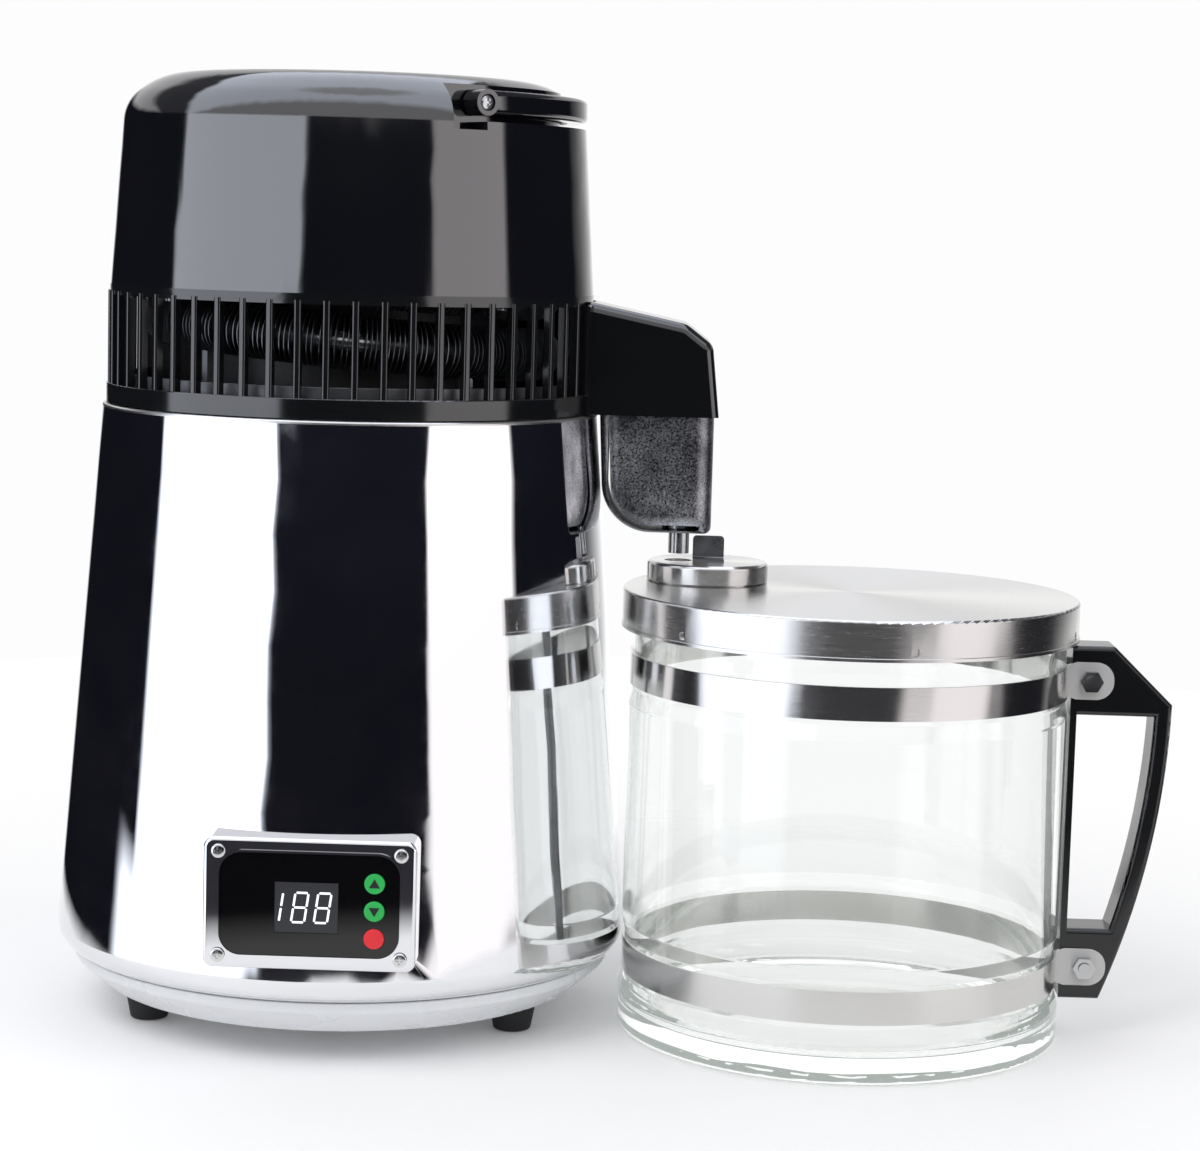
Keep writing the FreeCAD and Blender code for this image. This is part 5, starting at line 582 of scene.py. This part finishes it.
def studio_world(soft, backdrop):
    """Even soft light for matt surfaces, and for glossy ones the studio's pale walls and dark screens."""
    world = bpy.data.worlds.new("studio")
    bpy.context.scene.world = world
    world.use_nodes = True
    tree = world.node_tree
    tree.nodes.clear()
    ray = add(tree, "ShaderNodeTexCoord").outputs["Generated"]
    parts = add(tree, "ShaderNodeSeparateXYZ", {"Vector": ray}).outputs
    across, away, rise = parts["X"], parts["Y"], parts["Z"]
    # the compass runs from 0 at the camera's side towards the carafe's, to 180 behind
    back = add(tree, "ShaderNodeMath", {0: away, 1: -1.0}, operation="MULTIPLY").outputs["Value"]
    compass = add(tree, "ShaderNodeMath", {0: across, 1: back}, operation="ARCTAN2").outputs["Value"]
    toward = add(tree, "ShaderNodeMath", {0: 1.02, 1: away}, operation="SUBTRACT").outputs["Value"]
    slant = add(tree, "ShaderNodeMath", {0: across, 1: toward}, operation="DIVIDE").outputs["Value"]
    depth = add(tree, "ShaderNodeMath", {0: away, 1: rise}, operation="DIVIDE").outputs["Value"]
    # each goes from 0 to 1 as its measure goes from its first limit to its second
    past = {
        "round": (compass, -math.pi, math.pi), "near level": (rise, -0.125, -0.105),
        "low level": (rise, 0.094, 0.104), "worktop": (rise, 0.0, 0.05), "front": (away, 0.8, 0.7),
        "left edge": (slant, -0.93, -0.87), "right edge": (slant, 0.5, 0.46),
        "top": (rise, 0.955, 0.985), "far wall": (depth, 1.2, 1.6), "near wall": (depth, -0.5, -0.9),
        "ceiling": (rise, 0.17, 0.24),
    }
    for name, (measure, start, end) in past.items():
        limits = {"Value": measure, "From Min": start, "From Max": end}
        past[name] = add(tree, "ShaderNodeMapRange", limits).outputs["Result"]
    for name, one, other in (("gain", "worktop", "front"), ("over", "left edge", "right edge")):
        both = {0: past[one], 1: past[other]}
        past[name] = add(tree, "ShaderNodeMath", both, operation="MULTIPLY").outputs["Value"]
    white = (1.1, 1.1, 1.1)
    cool = (1.7, 1.77, 1.95)
    warm = (1.25, 1.2, 1.22)
    dim = (0.03, 0.03, 0.036)
    dark = (0.006, 0.006, 0.01)
    # brightness by degrees of the compass, at three levels: low down, above it, and higher up
    start = [(-180, white), (-165, white), (-157, dark)]
    levels = {
        "near": start + [
            (-99, dark), (-94, cool), (-36, cool), (-31, dim), (22, dim), (27, warm), (71, warm),
            (76, dark), (117, dark), (138, white), (180, white),
        ],
        "low": start + [
            (-88, dark), (-86.5, cool), (-28, cool), (-26.5, dark), (39.5, dark), (41, warm), (82, warm),
            (83.5, dark), (136, dark), (168, white), (180, white),
        ],
        "high": start + [
            (-86, dark), (-84.5, cool), (-19.5, cool), (-18, dark), (42.5, dark), (44, warm), (82, warm),
            (83.5, dark), (140, dark), (168, white), (180, white),
        ],
    }
    shown = {}
    for name, stops in levels.items():
        ramp = add(tree, "ShaderNodeValToRGB", {"Fac": past["round"]})
        elements = ramp.color_ramp.elements
        elements.remove(elements[-1])
        for number, (degrees, value) in enumerate(stops):
            position = (degrees + 180.0) / 360.0
            element = elements[0] if number == 0 else elements.new(position)
            element.position = position
            element.color = value + (1.0,)
        shown[name] = ramp.outputs["Color"]
    # a wide softbox arches overhead between two dark edges, with a pale wall before and behind it, and
    # straight above it is dimmer, so that a steel lid seen from above keeps its sheen
    for name, light in (
        ("box", (2.05, 2.15, 2.45)), ("wall", (0.92, 0.92, 0.94)), ("edge", (0.12, 0.12, 0.13)),
        ("crown", (1.3, 1.32, 1.38)),
    ):
        shown[name] = add(tree, "ShaderNodeCombineXYZ", dict(zip("XYZ", light))).outputs["Vector"]
    for name, factor, one, other in (
        ("walls", "low level", "low", "high"), ("walls", "near level", "near", "walls"),
        ("arch", "top", "box", "crown"), ("arch", "over", "edge", "arch"),
        ("ceiling", "far wall", "arch", "wall"), ("ceiling", "near wall", "ceiling", "wall"),
    ):
        both = {"Factor": past[factor], 6: shown[one], 7: shown[other]}
        shown[name] = add(tree, "ShaderNodeMix", both, data_type="RGBA").outputs[2]
    # the softboxes at the front are brighter above the worktop's height
    gain = add(tree, "ShaderNodeMapRange", {"Value": past["gain"], "To Min": 1.0, "To Max": 1.4})
    lit = add(
        tree, "ShaderNodeVectorMath", {0: shown["walls"], 3: gain.outputs["Result"]}, operation="SCALE",
    )
    both = {"Factor": past["ceiling"], 6: lit.outputs["Vector"], 7: shown["ceiling"]}
    picture = add(tree, "ShaderNodeMix", both, data_type="RGBA").outputs[2]
    # what is seen directly or through glass is the plain backdrop
    paths = add(tree, "ShaderNodeLightPath").outputs
    both = {0: paths["Is Camera Ray"], 1: paths["Is Transmission Ray"]}
    direct = add(tree, "ShaderNodeMath", both, operation="MAXIMUM").outputs["Value"]
    even, seen, plain = [
        add(tree, "ShaderNodeBackground", {"Color": colour, "Strength": strength}).outputs["Background"]
        for colour, strength in (
            ((1.0, 1.0, 1.0, 1.0), soft), (picture, 1.0), (tuple(backdrop) + (1.0,), 1.0),
        )
    ]
    first = add(tree, "ShaderNodeMixShader", {0: paths["Is Glossy Ray"], 1: even, 2: seen})
    second = add(tree, "ShaderNodeMixShader", {0: direct, 1: first.outputs["Shader"], 2: plain})
    add(tree, "ShaderNodeOutputWorld", {"Surface": second.outputs["Shader"]})


def matt_worktop():
    """The pale matt sweep under the machine: it holds the soft shadow and runs out into the white."""
    material, tree, shader, place = blank_material("matt_worktop", Roughness=0.6)
    connect(tree, shader, {"Base Color": tinted(tree, place, 3.0, "f2f2f3", "f7f7f8")})
    level = {0: place, 1: (1.0, 1.0, 0.0)}
    flat = add(tree, "ShaderNodeVectorMath", level, operation="MULTIPLY").outputs["Vector"]
    reach = add(tree, "ShaderNodeVectorMath", {0: flat}, operation="LENGTH").outputs["Value"]
    limits = {"Value": reach, "From Min": 0.18, "From Max": 0.6, "To Min": 0.06, "To Max": 1.0}
    fade = add(tree, "ShaderNodeMapRange", limits, interpolation_type="SMOOTHSTEP").outputs["Result"]
    glow = add(tree, "ShaderNodeEmission", {"Color": (1.0, 1.0, 1.0, 1.0), "Strength": 1.0})
    # seen through glass it is lit evenly, as light that passes the glass would light it
    rays = add(tree, "ShaderNodeLightPath").outputs
    both = {0: rays["Is Transmission Ray"], 1: 0.45}
    through = add(tree, "ShaderNodeMath", both, operation="MULTIPLY").outputs["Value"]
    lit = add(tree, "ShaderNodeMath", {0: fade, 1: through}, operation="MAXIMUM").outputs["Value"]
    top = add(tree, "ShaderNodeMixShader", {0: lit, 1: shader.outputs["BSDF"], 2: glow.outputs["Emission"]})
    # polished metal sees only the near part, and past it the studio's screens
    limits = {"Value": reach, "From Min": 0.36, "From Max": 0.42}
    edge = add(tree, "ShaderNodeMapRange", limits).outputs["Result"]
    both = {0: edge, 1: rays["Is Glossy Ray"]}
    gone = add(tree, "ShaderNodeMath", both, operation="MULTIPLY").outputs["Value"]
    nothing = add(tree, "ShaderNodeBsdfTransparent").outputs["BSDF"]
    surface = add(tree, "ShaderNodeMixShader", {0: gone, 1: top.outputs["Shader"], 2: nothing})
    output = next(node for node in tree.nodes if node.type == "OUTPUT_MATERIAL")
    connect(tree, output, {"Surface": surface.outputs["Shader"]})
    return material


def lay_worktop(reach):
    """The round worktop, which isn't part of the machine."""
    work = bmesh.new()
    # a hair below the glass, so that the two faces don't lie in one plane
    below = Matrix.Translation((0.0, 0.0, -0.3 * MM))
    bmesh.ops.create_circle(work, cap_ends=True, segments=96, radius=reach, matrix=below)
    mesh = bpy.data.meshes.new("worktop")
    work.to_mesh(mesh)
    work.free()
    mesh.materials.append(matt_worktop())
    thing = bpy.data.objects.new("worktop", mesh)
    bpy.context.scene.collection.objects.link(thing)


class StageSizes(bpy.types.PropertyGroup):
    reach: bpy.props.FloatProperty(
        name="Worktop reach", description="Radius of the pale worktop under the machine", default=1.0,
        unit="LENGTH",
    )
    soft: bpy.props.FloatProperty(
        name="Soft light", description="Strength of the even light from all round", default=0.78, min=0.0,
    )
    backdrop: bpy.props.FloatVectorProperty(
        name="Backdrop", description="Colour behind the machine", subtype="COLOR",
        default=linear("fdfdfe")[:3],
    )
    key_power: bpy.props.FloatProperty(
        name="Key light", description="Power of the large lamp above and to the left", default=14.0,
        unit="POWER",
    )


class DISTILLER_OT_stage(bpy.types.Operator):
    """Lay the worktop, hang the soft lights and set the camera"""
    bl_idname = "distiller.stage"
    bl_label = "Stage"

    def execute(self, context):
        sizes = context.scene.distiller_stage
        context.scene.view_settings.view_transform = "Standard"
        place_camera()
        studio_world(sizes.soft, sizes.backdrop)
        lay_worktop(sizes.reach)
        lamp("key", (-0.9, -1.0, 1.6), (0.0, 0.0, 0.15), 1.2, sizes.key_power)
        lamp("fill", (1.3, -0.6, 1.2), (0.05, 0.0, 0.15), 1.0, sizes.key_power * 0.45)
        return {"FINISHED"}


class PanelSizes(bpy.types.PropertyGroup):
    digit_height: bpy.props.FloatProperty(
        name="Digit height", description="Height of a figure between the middles of its strokes",
        default=11.2 * MM, unit="LENGTH",
    )
    digit_width: bpy.props.FloatProperty(
        name="Digit width", description="Width of a figure between the middles of its strokes",
        default=4.9 * MM, unit="LENGTH",
    )
    stroke: bpy.props.FloatProperty(
        name="Stroke", description="Width of a lit segment", default=0.82 * MM, unit="LENGTH",
    )
    lean: bpy.props.FloatProperty(
        name="Lean", description="Lean of the figures to the right", default=math.radians(8.0),
        unit="ROTATION",
    )


class FinishColours(bpy.types.PropertyGroup):
    gloss_black: bpy.props.StringProperty(
        name="Gloss black", description="Hex colour of the dome's glossy plastic", default="0b0c10",
    )
    satin_black: bpy.props.StringProperty(
        name="Satin black", description="Hex colour of the grille's, arm's and carafe handle's plastic",
        default="0e0f11",
    )
    glass: bpy.props.StringProperty(
        name="Glass", description="Hex colour of the carafe's glass", default="fefffe",
    )


class DISTILLER_OT_base(bpy.types.Operator):
    """Finish the feet, the pan, the mirror shell and the boiler inside it"""
    bl_idname = "distiller.base"
    bl_label = "Base and shell"

    def execute(self, context):
        smooth_twin("rubber_feet", moulded_rubber())
        smooth_twin("base_pan", moulded_plastic("silver_paint", "dfe1e4", 0.28, 1.2, 0.006, drift=0.015))
        smooth_twin("outer_shell", mirror_polished_steel())
        steel = plain_metal("drawn_steel", "b9babb", 0.24)
        smooth_twin("boiler_pot", brushed_steel("pot_steel", BOILER, "d6d5d3", 0.3, lean=0.5))
        paint(steel, "pot_studs", "pan_nuts", "foot_screws")
        paint(plain_metal("rolled_aluminium", "bfc1c4", 0.38), "heat_spreader")
        paint(plain_metal("heated_sheath", "55504c", 0.5), "heating_element")
        paint(moulded_plastic("glazed_ceramic", "dcdad2", 0.25), "thermostat", "thermal_fuse")
        return {"FINISHED"}


class DISTILLER_OT_panel(bpy.types.Operator):
    """Finish the control panel with its frame, window, display, buttons and screws"""
    bl_idname = "distiller.panel"
    bl_label = "Control panel"

    def execute(self, context):
        smooth_twin("panel_frame", mirror_polished_steel("chrome_plate", "e6e7ea", 0.05))
        smooth_twin("panel_window", moulded_plastic("window_acrylic", "050506", 0.04, 4.0, 0.002))
        smooth_twin("display_module", moulded_plastic("display_block", "26272b", 0.3))
        for node, label, colour in (
            ("button_up", "green_cap", "19a54a"), ("button_down", "green_cap_below", "19a54a"),
            ("button_start", "red_cap", "d3202c"),
        ):
            smooth_twin(node, moulded_plastic(label, colour, 0.3))
        # the heads stand on the frame's face, as tall as the solid's
        seat_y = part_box("panel_frame")[0].y
        head = cross_head("panel_head", 2.65, 0.78, 15.0)
        places = [(Vector((spot.x, seat_y, spot.z)), (0.0, 0.0, 0.0), (1.0, 1.0, 1.0))
                  for spot in loose_parts("panel_screws")]
        repeated(
            "panel_screw_heads", head, places, plain_metal("nickel_screw", "dcdcdc", 0.16),
            BODY_OF["panel_screws"], ["panel_screws"],
        )
        self.lit_digits(context.scene.distiller_panel)
        self.button_arrows()
        paint(moulded_plastic("circuit_board", "0f5a2a", 0.45), "control_board")
        paint(moulded_plastic("switch_case", "1a1a1c", 0.4), "button_switches")
        paint(plain_metal("zinc_screw", "b5b7ba", 0.3), "board_screws")
        return {"FINISHED"}

    def lit_digits(self, sizes):
        """Seven-segment figures that lean to the right, raised a little from the display's face."""
        low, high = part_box("display_module")
        middle = (low + high) / 2
        lean = sizes.lean
        tall, wide, stroke = sizes.digit_height / 2, sizes.digit_width / 2, sizes.stroke
        bars = {
            "top": (0, 2, True), "upper_left": (-1, 1, False), "upper_right": (1, 1, False),
            "middle": (0, 0, True), "lower_left": (-1, -1, False), "lower_right": (1, -1, False),
            "bottom": (0, -2, True),
        }
        figures = {"1": ("upper_left", "lower_left"), "8": tuple(bars)}
        columns = (-6.95, -2.4, 6.1)
        places = []
        for figure, across in zip("188", columns):
            for label in figures[figure]:
                side, level, flat = bars[label]
                z = level * tall / 2
                x = across * MM + side * wide + z * math.tan(lean)
                length = (2 * wide if flat else tall) - stroke * 0.75
                turn = (0.0, 0.0 if flat else lean - math.pi / 2, 0.0)
                spot = Vector((middle.x + x, low.y, middle.z + z))
                places.append((spot, turn, (length / MM, 1.0, stroke / MM)))
        # a stroke one long and one wide, with pointed ends, that stands 0.08 mm proud
        outline = [(-0.5, 0.0), (-0.46, 0.5), (0.46, 0.5), (0.5, 0.0), (0.46, -0.5), (-0.46, -0.5)]
        bar = prism("bar", outline, -0.08, 0.05)
        repeated("display_digits", bar, places, lit_segment(), "base")

    def button_arrows(self):
        """A small black arrowhead printed on each green button."""
        ink = moulded_plastic("arrow_ink", "0a0c0b", 0.4, 1.0, 0.004)
        arrow = [(-2.05, -1.5), (2.05, -1.5), (0.0, 2.0)]
        for node, way in (("button_up", 1.0), ("button_down", -1.0)):
            low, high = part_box(node)
            middle = (low + high) / 2
            outline = [(x, z * way) for x, z in arrow]
            mesh = prism(node + "_arrow", outline, -0.05, 0.1)
            mesh.transform(Matrix.Translation((middle.x, low.y, middle.z)))
            finish_mesh(mesh)
            new_piece(node + "_arrow", mesh, ink, BODY_OF[node])


class DISTILLER_OT_inlet(bpy.types.Operator):
    """Finish the power inlet and the connector that feeds the head"""
    bl_idname = "distiller.inlet"
    bl_label = "Power inlet"

    def execute(self, context):
        satin = moulded_plastic("inlet_abs", "0f1012", 0.38)
        for node in ("inlet_housing", "inlet_socket", "coupler_socket", "coupler_plug"):
            smooth_twin(node, satin)
        brass = plain_metal("nickel_brass", "c9b177", 0.25)
        smooth_twin("inlet_pins", brass)
        smooth_twin("coupler_pins", brass)
        smooth_twin("inlet_screws", plain_metal("inlet_screw", "c9cacc", 0.22))
        return {"FINISHED"}


class DISTILLER_OT_head(bpy.types.Operator):
    """Finish the head: plate, grille, dome and carry handle"""
    bl_idname = "distiller.head"
    bl_label = "Head"

    def execute(self, context):
        finish = context.scene.distiller_finish
        satin = moulded_plastic("satin_abs", finish.satin_black, 0.1, 1.6, 0.004, ior=1.8)
        gloss = moulded_plastic("gloss_abs", finish.gloss_black, 0.06, 3.0, 0.002, ior=1.95)
        # the plate's steel is a dark grey: painted shade for the dim floor of the head seen through the
        # grille
        smooth_twin("head_plate", plain_metal("pressed_steel", "6f7073", 0.5))
        smooth_twin("head_gasket", moulded_plastic("grey_silicone", "b9b9b4", 0.55))
        smooth_twin("grille_ring", satin)
        smooth_twin("head_dome", gloss)
        smooth_twin("carry_handle", gloss)
        # the heads sit in counterbores 1.5 mm deep in the handle's bosses
        seat_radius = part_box("carry_handle")[1].x - BOILER.x - 1.5 * MM
        places = []
        for spot in loose_parts("handle_screws"):
            out = (spot - BOILER).xy.normalized()
            face = Vector((BOILER.x + out.x * seat_radius, BOILER.y + out.y * seat_radius, spot.z))
            places.append((face, (0.0, 0.0, math.atan2(out.x, -out.y)), (1.0, 1.0, 1.0)))
        repeated(
            "pivot_screws", cross_head("head", 2.9, 1.3, 14.0), places,
            plain_metal("pivot_screw", "d0d1d3", 0.2),
            BODY_OF["handle_screws"], ["handle_screws"],
        )
        paint(plain_metal("zinc_screws", "b5b7ba", 0.3), "plate_screws", "dome_screws")
        return {"FINISHED"}


class DISTILLER_OT_works(bpy.types.Operator):
    """Finish the condenser, the fan and their brackets inside the head"""
    bl_idname = "distiller.works"
    bl_label = "Condenser and fan"

    def execute(self, context):
        coil = plain_metal("condenser_tube", "bcbdbf", 0.22)
        # the fins are a darker grey than bare aluminium: painted shade for the dark inside of the head
        fins = plain_metal("stamped_fins", "85878b", 0.36)
        black = moulded_plastic("baffle_abs", "060607", 0.5)
        smooth_twin("air_baffle", black)
        # the plates of painted shade take the baffle's black
        self.painted_shade_plates(black)
        smooth_twin("condenser_coil", coil)
        self.wound_fins(fins)
        smooth_twin("coil_posts", plain_metal("post_steel", "9b9da0", 0.35))
        smooth_twin("vapour_fitting", coil)
        smooth_twin("fan_motor", plain_metal("motor_can", "7f8286", 0.35))
        smooth_twin("fan_shaft", coil)
        smooth_twin("fan_impeller", moulded_plastic("fan_nylon", "1b1c1e", 0.35))
        smooth_twin("fan_bracket", plain_metal("bracket_zinc", "a9abae", 0.35))
        paint(plain_metal("bracket_screw", "b5b7ba", 0.3), "bracket_screws")
        return {"FINISHED"}

    def painted_shade_plates(self, material):
        """Painted shade: two thin black upright plates from the drum to the grille that stand for the
        darkness inside the head, behind which the winding is dark.
        """
        drum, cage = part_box("air_baffle"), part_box("grille_ring")
        behind, inset, thick = 25.0 * MM, 5.0 * MM, 1.0
        near = math.sqrt(((drum[1].x - drum[0].x) / 2) ** 2 - behind ** 2)
        far = math.sqrt(((cage[1].x - cage[0].x) / 2 - inset) ** 2 - behind ** 2)
        low, high = (drum[0].z + 0.2 * MM) / MM, (cage[1].z - 1.0 * MM) / MM
        for name, side in (("shade_plate_left", -1), ("shade_plate_right", 1)):
            x1, x2 = [(BOILER.x + side * reach) / MM for reach in (near, far)]
            outline = [(x1, low), (x2, low), (x2, high), (x1, high)]
            start = (BOILER.y + behind) / MM
            mesh = prism(name, outline, start, start + thick)
            finish_mesh(mesh)
            new_piece(name, mesh, material, BODY_OF["air_baffle"])

    def wound_fins(self, material):
        """Close-set fins along the condenser's winding, four to each pitch of the solid's own fins."""
        spots = loose_parts("condenser_fins")
        share = 4
        pitch = (spots[1] - spots[0]).length
        places = []
        for number, spot in enumerate(spots):
            after = spots[min(number + 1, len(spots) - 1)]
            follows = 0.0 < (after - spot).length < 1.6 * pitch
            along = after - spot if follows else spot - spots[number - 1]
            for part in range(share if follows else 1):
                point = spot.lerp(after, part / share)
                turn = along.to_track_quat("X", "Z").to_euler()
                places.append((point, tuple(turn), (1.0, 1.0, 1.0)))
        repeated(
            "wound_fins", disc("fin", 10.5, 0.3), places, material,
            BODY_OF["condenser_fins"], ["condenser_fins"],
        )


class DISTILLER_OT_spout(bpy.types.Operator):
    """Finish the spout's arm, cast nozzle, tube and filter"""
    bl_idname = "distiller.spout"
    bl_label = "Spout"

    def execute(self, context):
        finish = context.scene.distiller_finish
        smooth_twin("spout_arm", moulded_plastic("arm_abs", finish.satin_black, 0.12, 1.6, 0.006, ior=1.8))
        smooth_twin("spout_nozzle", sand_cast_metal())
        smooth_twin("outlet_tube", plain_metal("outlet_steel", "c9cacc", 0.2))
        smooth_twin("filter_cup", moulded_plastic("charcoal_cloth", "232323", 0.8))
        return {"FINISHED"}


class DISTILLER_OT_carafe(bpy.types.Operator):
    """Finish the glass jar, its steel bands and its handle"""
    bl_idname = "distiller.carafe"
    bl_label = "Carafe"

    def execute(self, context):
        finish = context.scene.distiller_finish
        jar = smooth_twin("glass_jar", pressed_glass(finish.glass))
        # light passes through the glass to the worktop
        jar.visible_shadow = False
        band = brushed_steel("band_steel", JAR, "d3d2d0", 0.16)
        smooth_twin("upper_band", band)
        smooth_twin("lower_band", band)
        smooth_twin("jar_handle", moulded_plastic("handle_abs", finish.satin_black, 0.2, 1.6, 0.01))
        nuts = plain_metal("nickel_nut", "c8c9ca", 0.22)
        smooth_twin("band_bolts", nuts)
        smooth_twin("band_nuts", nuts)
        return {"FINISHED"}


class DISTILLER_OT_lid(bpy.types.Operator):
    """Finish the carafe's lid, its seal and the small cap with its tab"""
    bl_idname = "distiller.lid"
    bl_label = "Lid and cap"

    def execute(self, context):
        smooth_twin("jar_lid", brushed_steel("lid_steel", JAR, "d0cfcd", 0.24, lean=0.7))
        smooth_twin("lid_seal", moulded_plastic("seal_silicone", "c4c5c0", 0.5))
        smooth_twin("jar_cap", brushed_steel("cap_steel", CAP, "d0cfcd", 0.22, lean=0.7))
        smooth_twin("cap_tab", plain_metal("tab_steel", "8e8f92", 0.3))
        return {"FINISHED"}


class DISTILLER_PT_sidebar(bpy.types.Panel):
    bl_label = "Water Distiller"
    bl_idname = "DISTILLER_PT_sidebar"
    bl_space_type = "VIEW_3D"
    bl_region_type = "UI"
    bl_category = "Distiller"

    def draw(self, context):
        column = self.layout.column()
        scene = context.scene
        for group in (scene.distiller_stage, scene.distiller_panel, scene.distiller_finish):
            for name in group.__annotations__:
                column.prop(group, name)
        for operator in OPERATORS:
            column.operator(operator.bl_idname)


OPERATORS = (
    DISTILLER_OT_stage, DISTILLER_OT_base, DISTILLER_OT_panel, DISTILLER_OT_inlet, DISTILLER_OT_head,
    DISTILLER_OT_works, DISTILLER_OT_spout, DISTILLER_OT_carafe, DISTILLER_OT_lid,
)
CLASSES = (StageSizes, PanelSizes, FinishColours) + OPERATORS + (DISTILLER_PT_sidebar,)


def register():
    for each in CLASSES:
        bpy.utils.register_class(each)
    bpy.types.Scene.distiller_stage = bpy.props.PointerProperty(type=StageSizes)
    bpy.types.Scene.distiller_panel = bpy.props.PointerProperty(type=PanelSizes)
    bpy.types.Scene.distiller_finish = bpy.props.PointerProperty(type=FinishColours)


def unregister():
    del bpy.types.Scene.distiller_finish
    del bpy.types.Scene.distiller_panel
    del bpy.types.Scene.distiller_stage
    for each in reversed(CLASSES):
        bpy.utils.unregister_class(each)


def main():
    register()
    for operator in OPERATORS:
        getattr(bpy.ops.distiller, operator.bl_idname.split(".")[1])()
    bpy.context.view_layer.update()


if __name__ == "__main__":
    main()
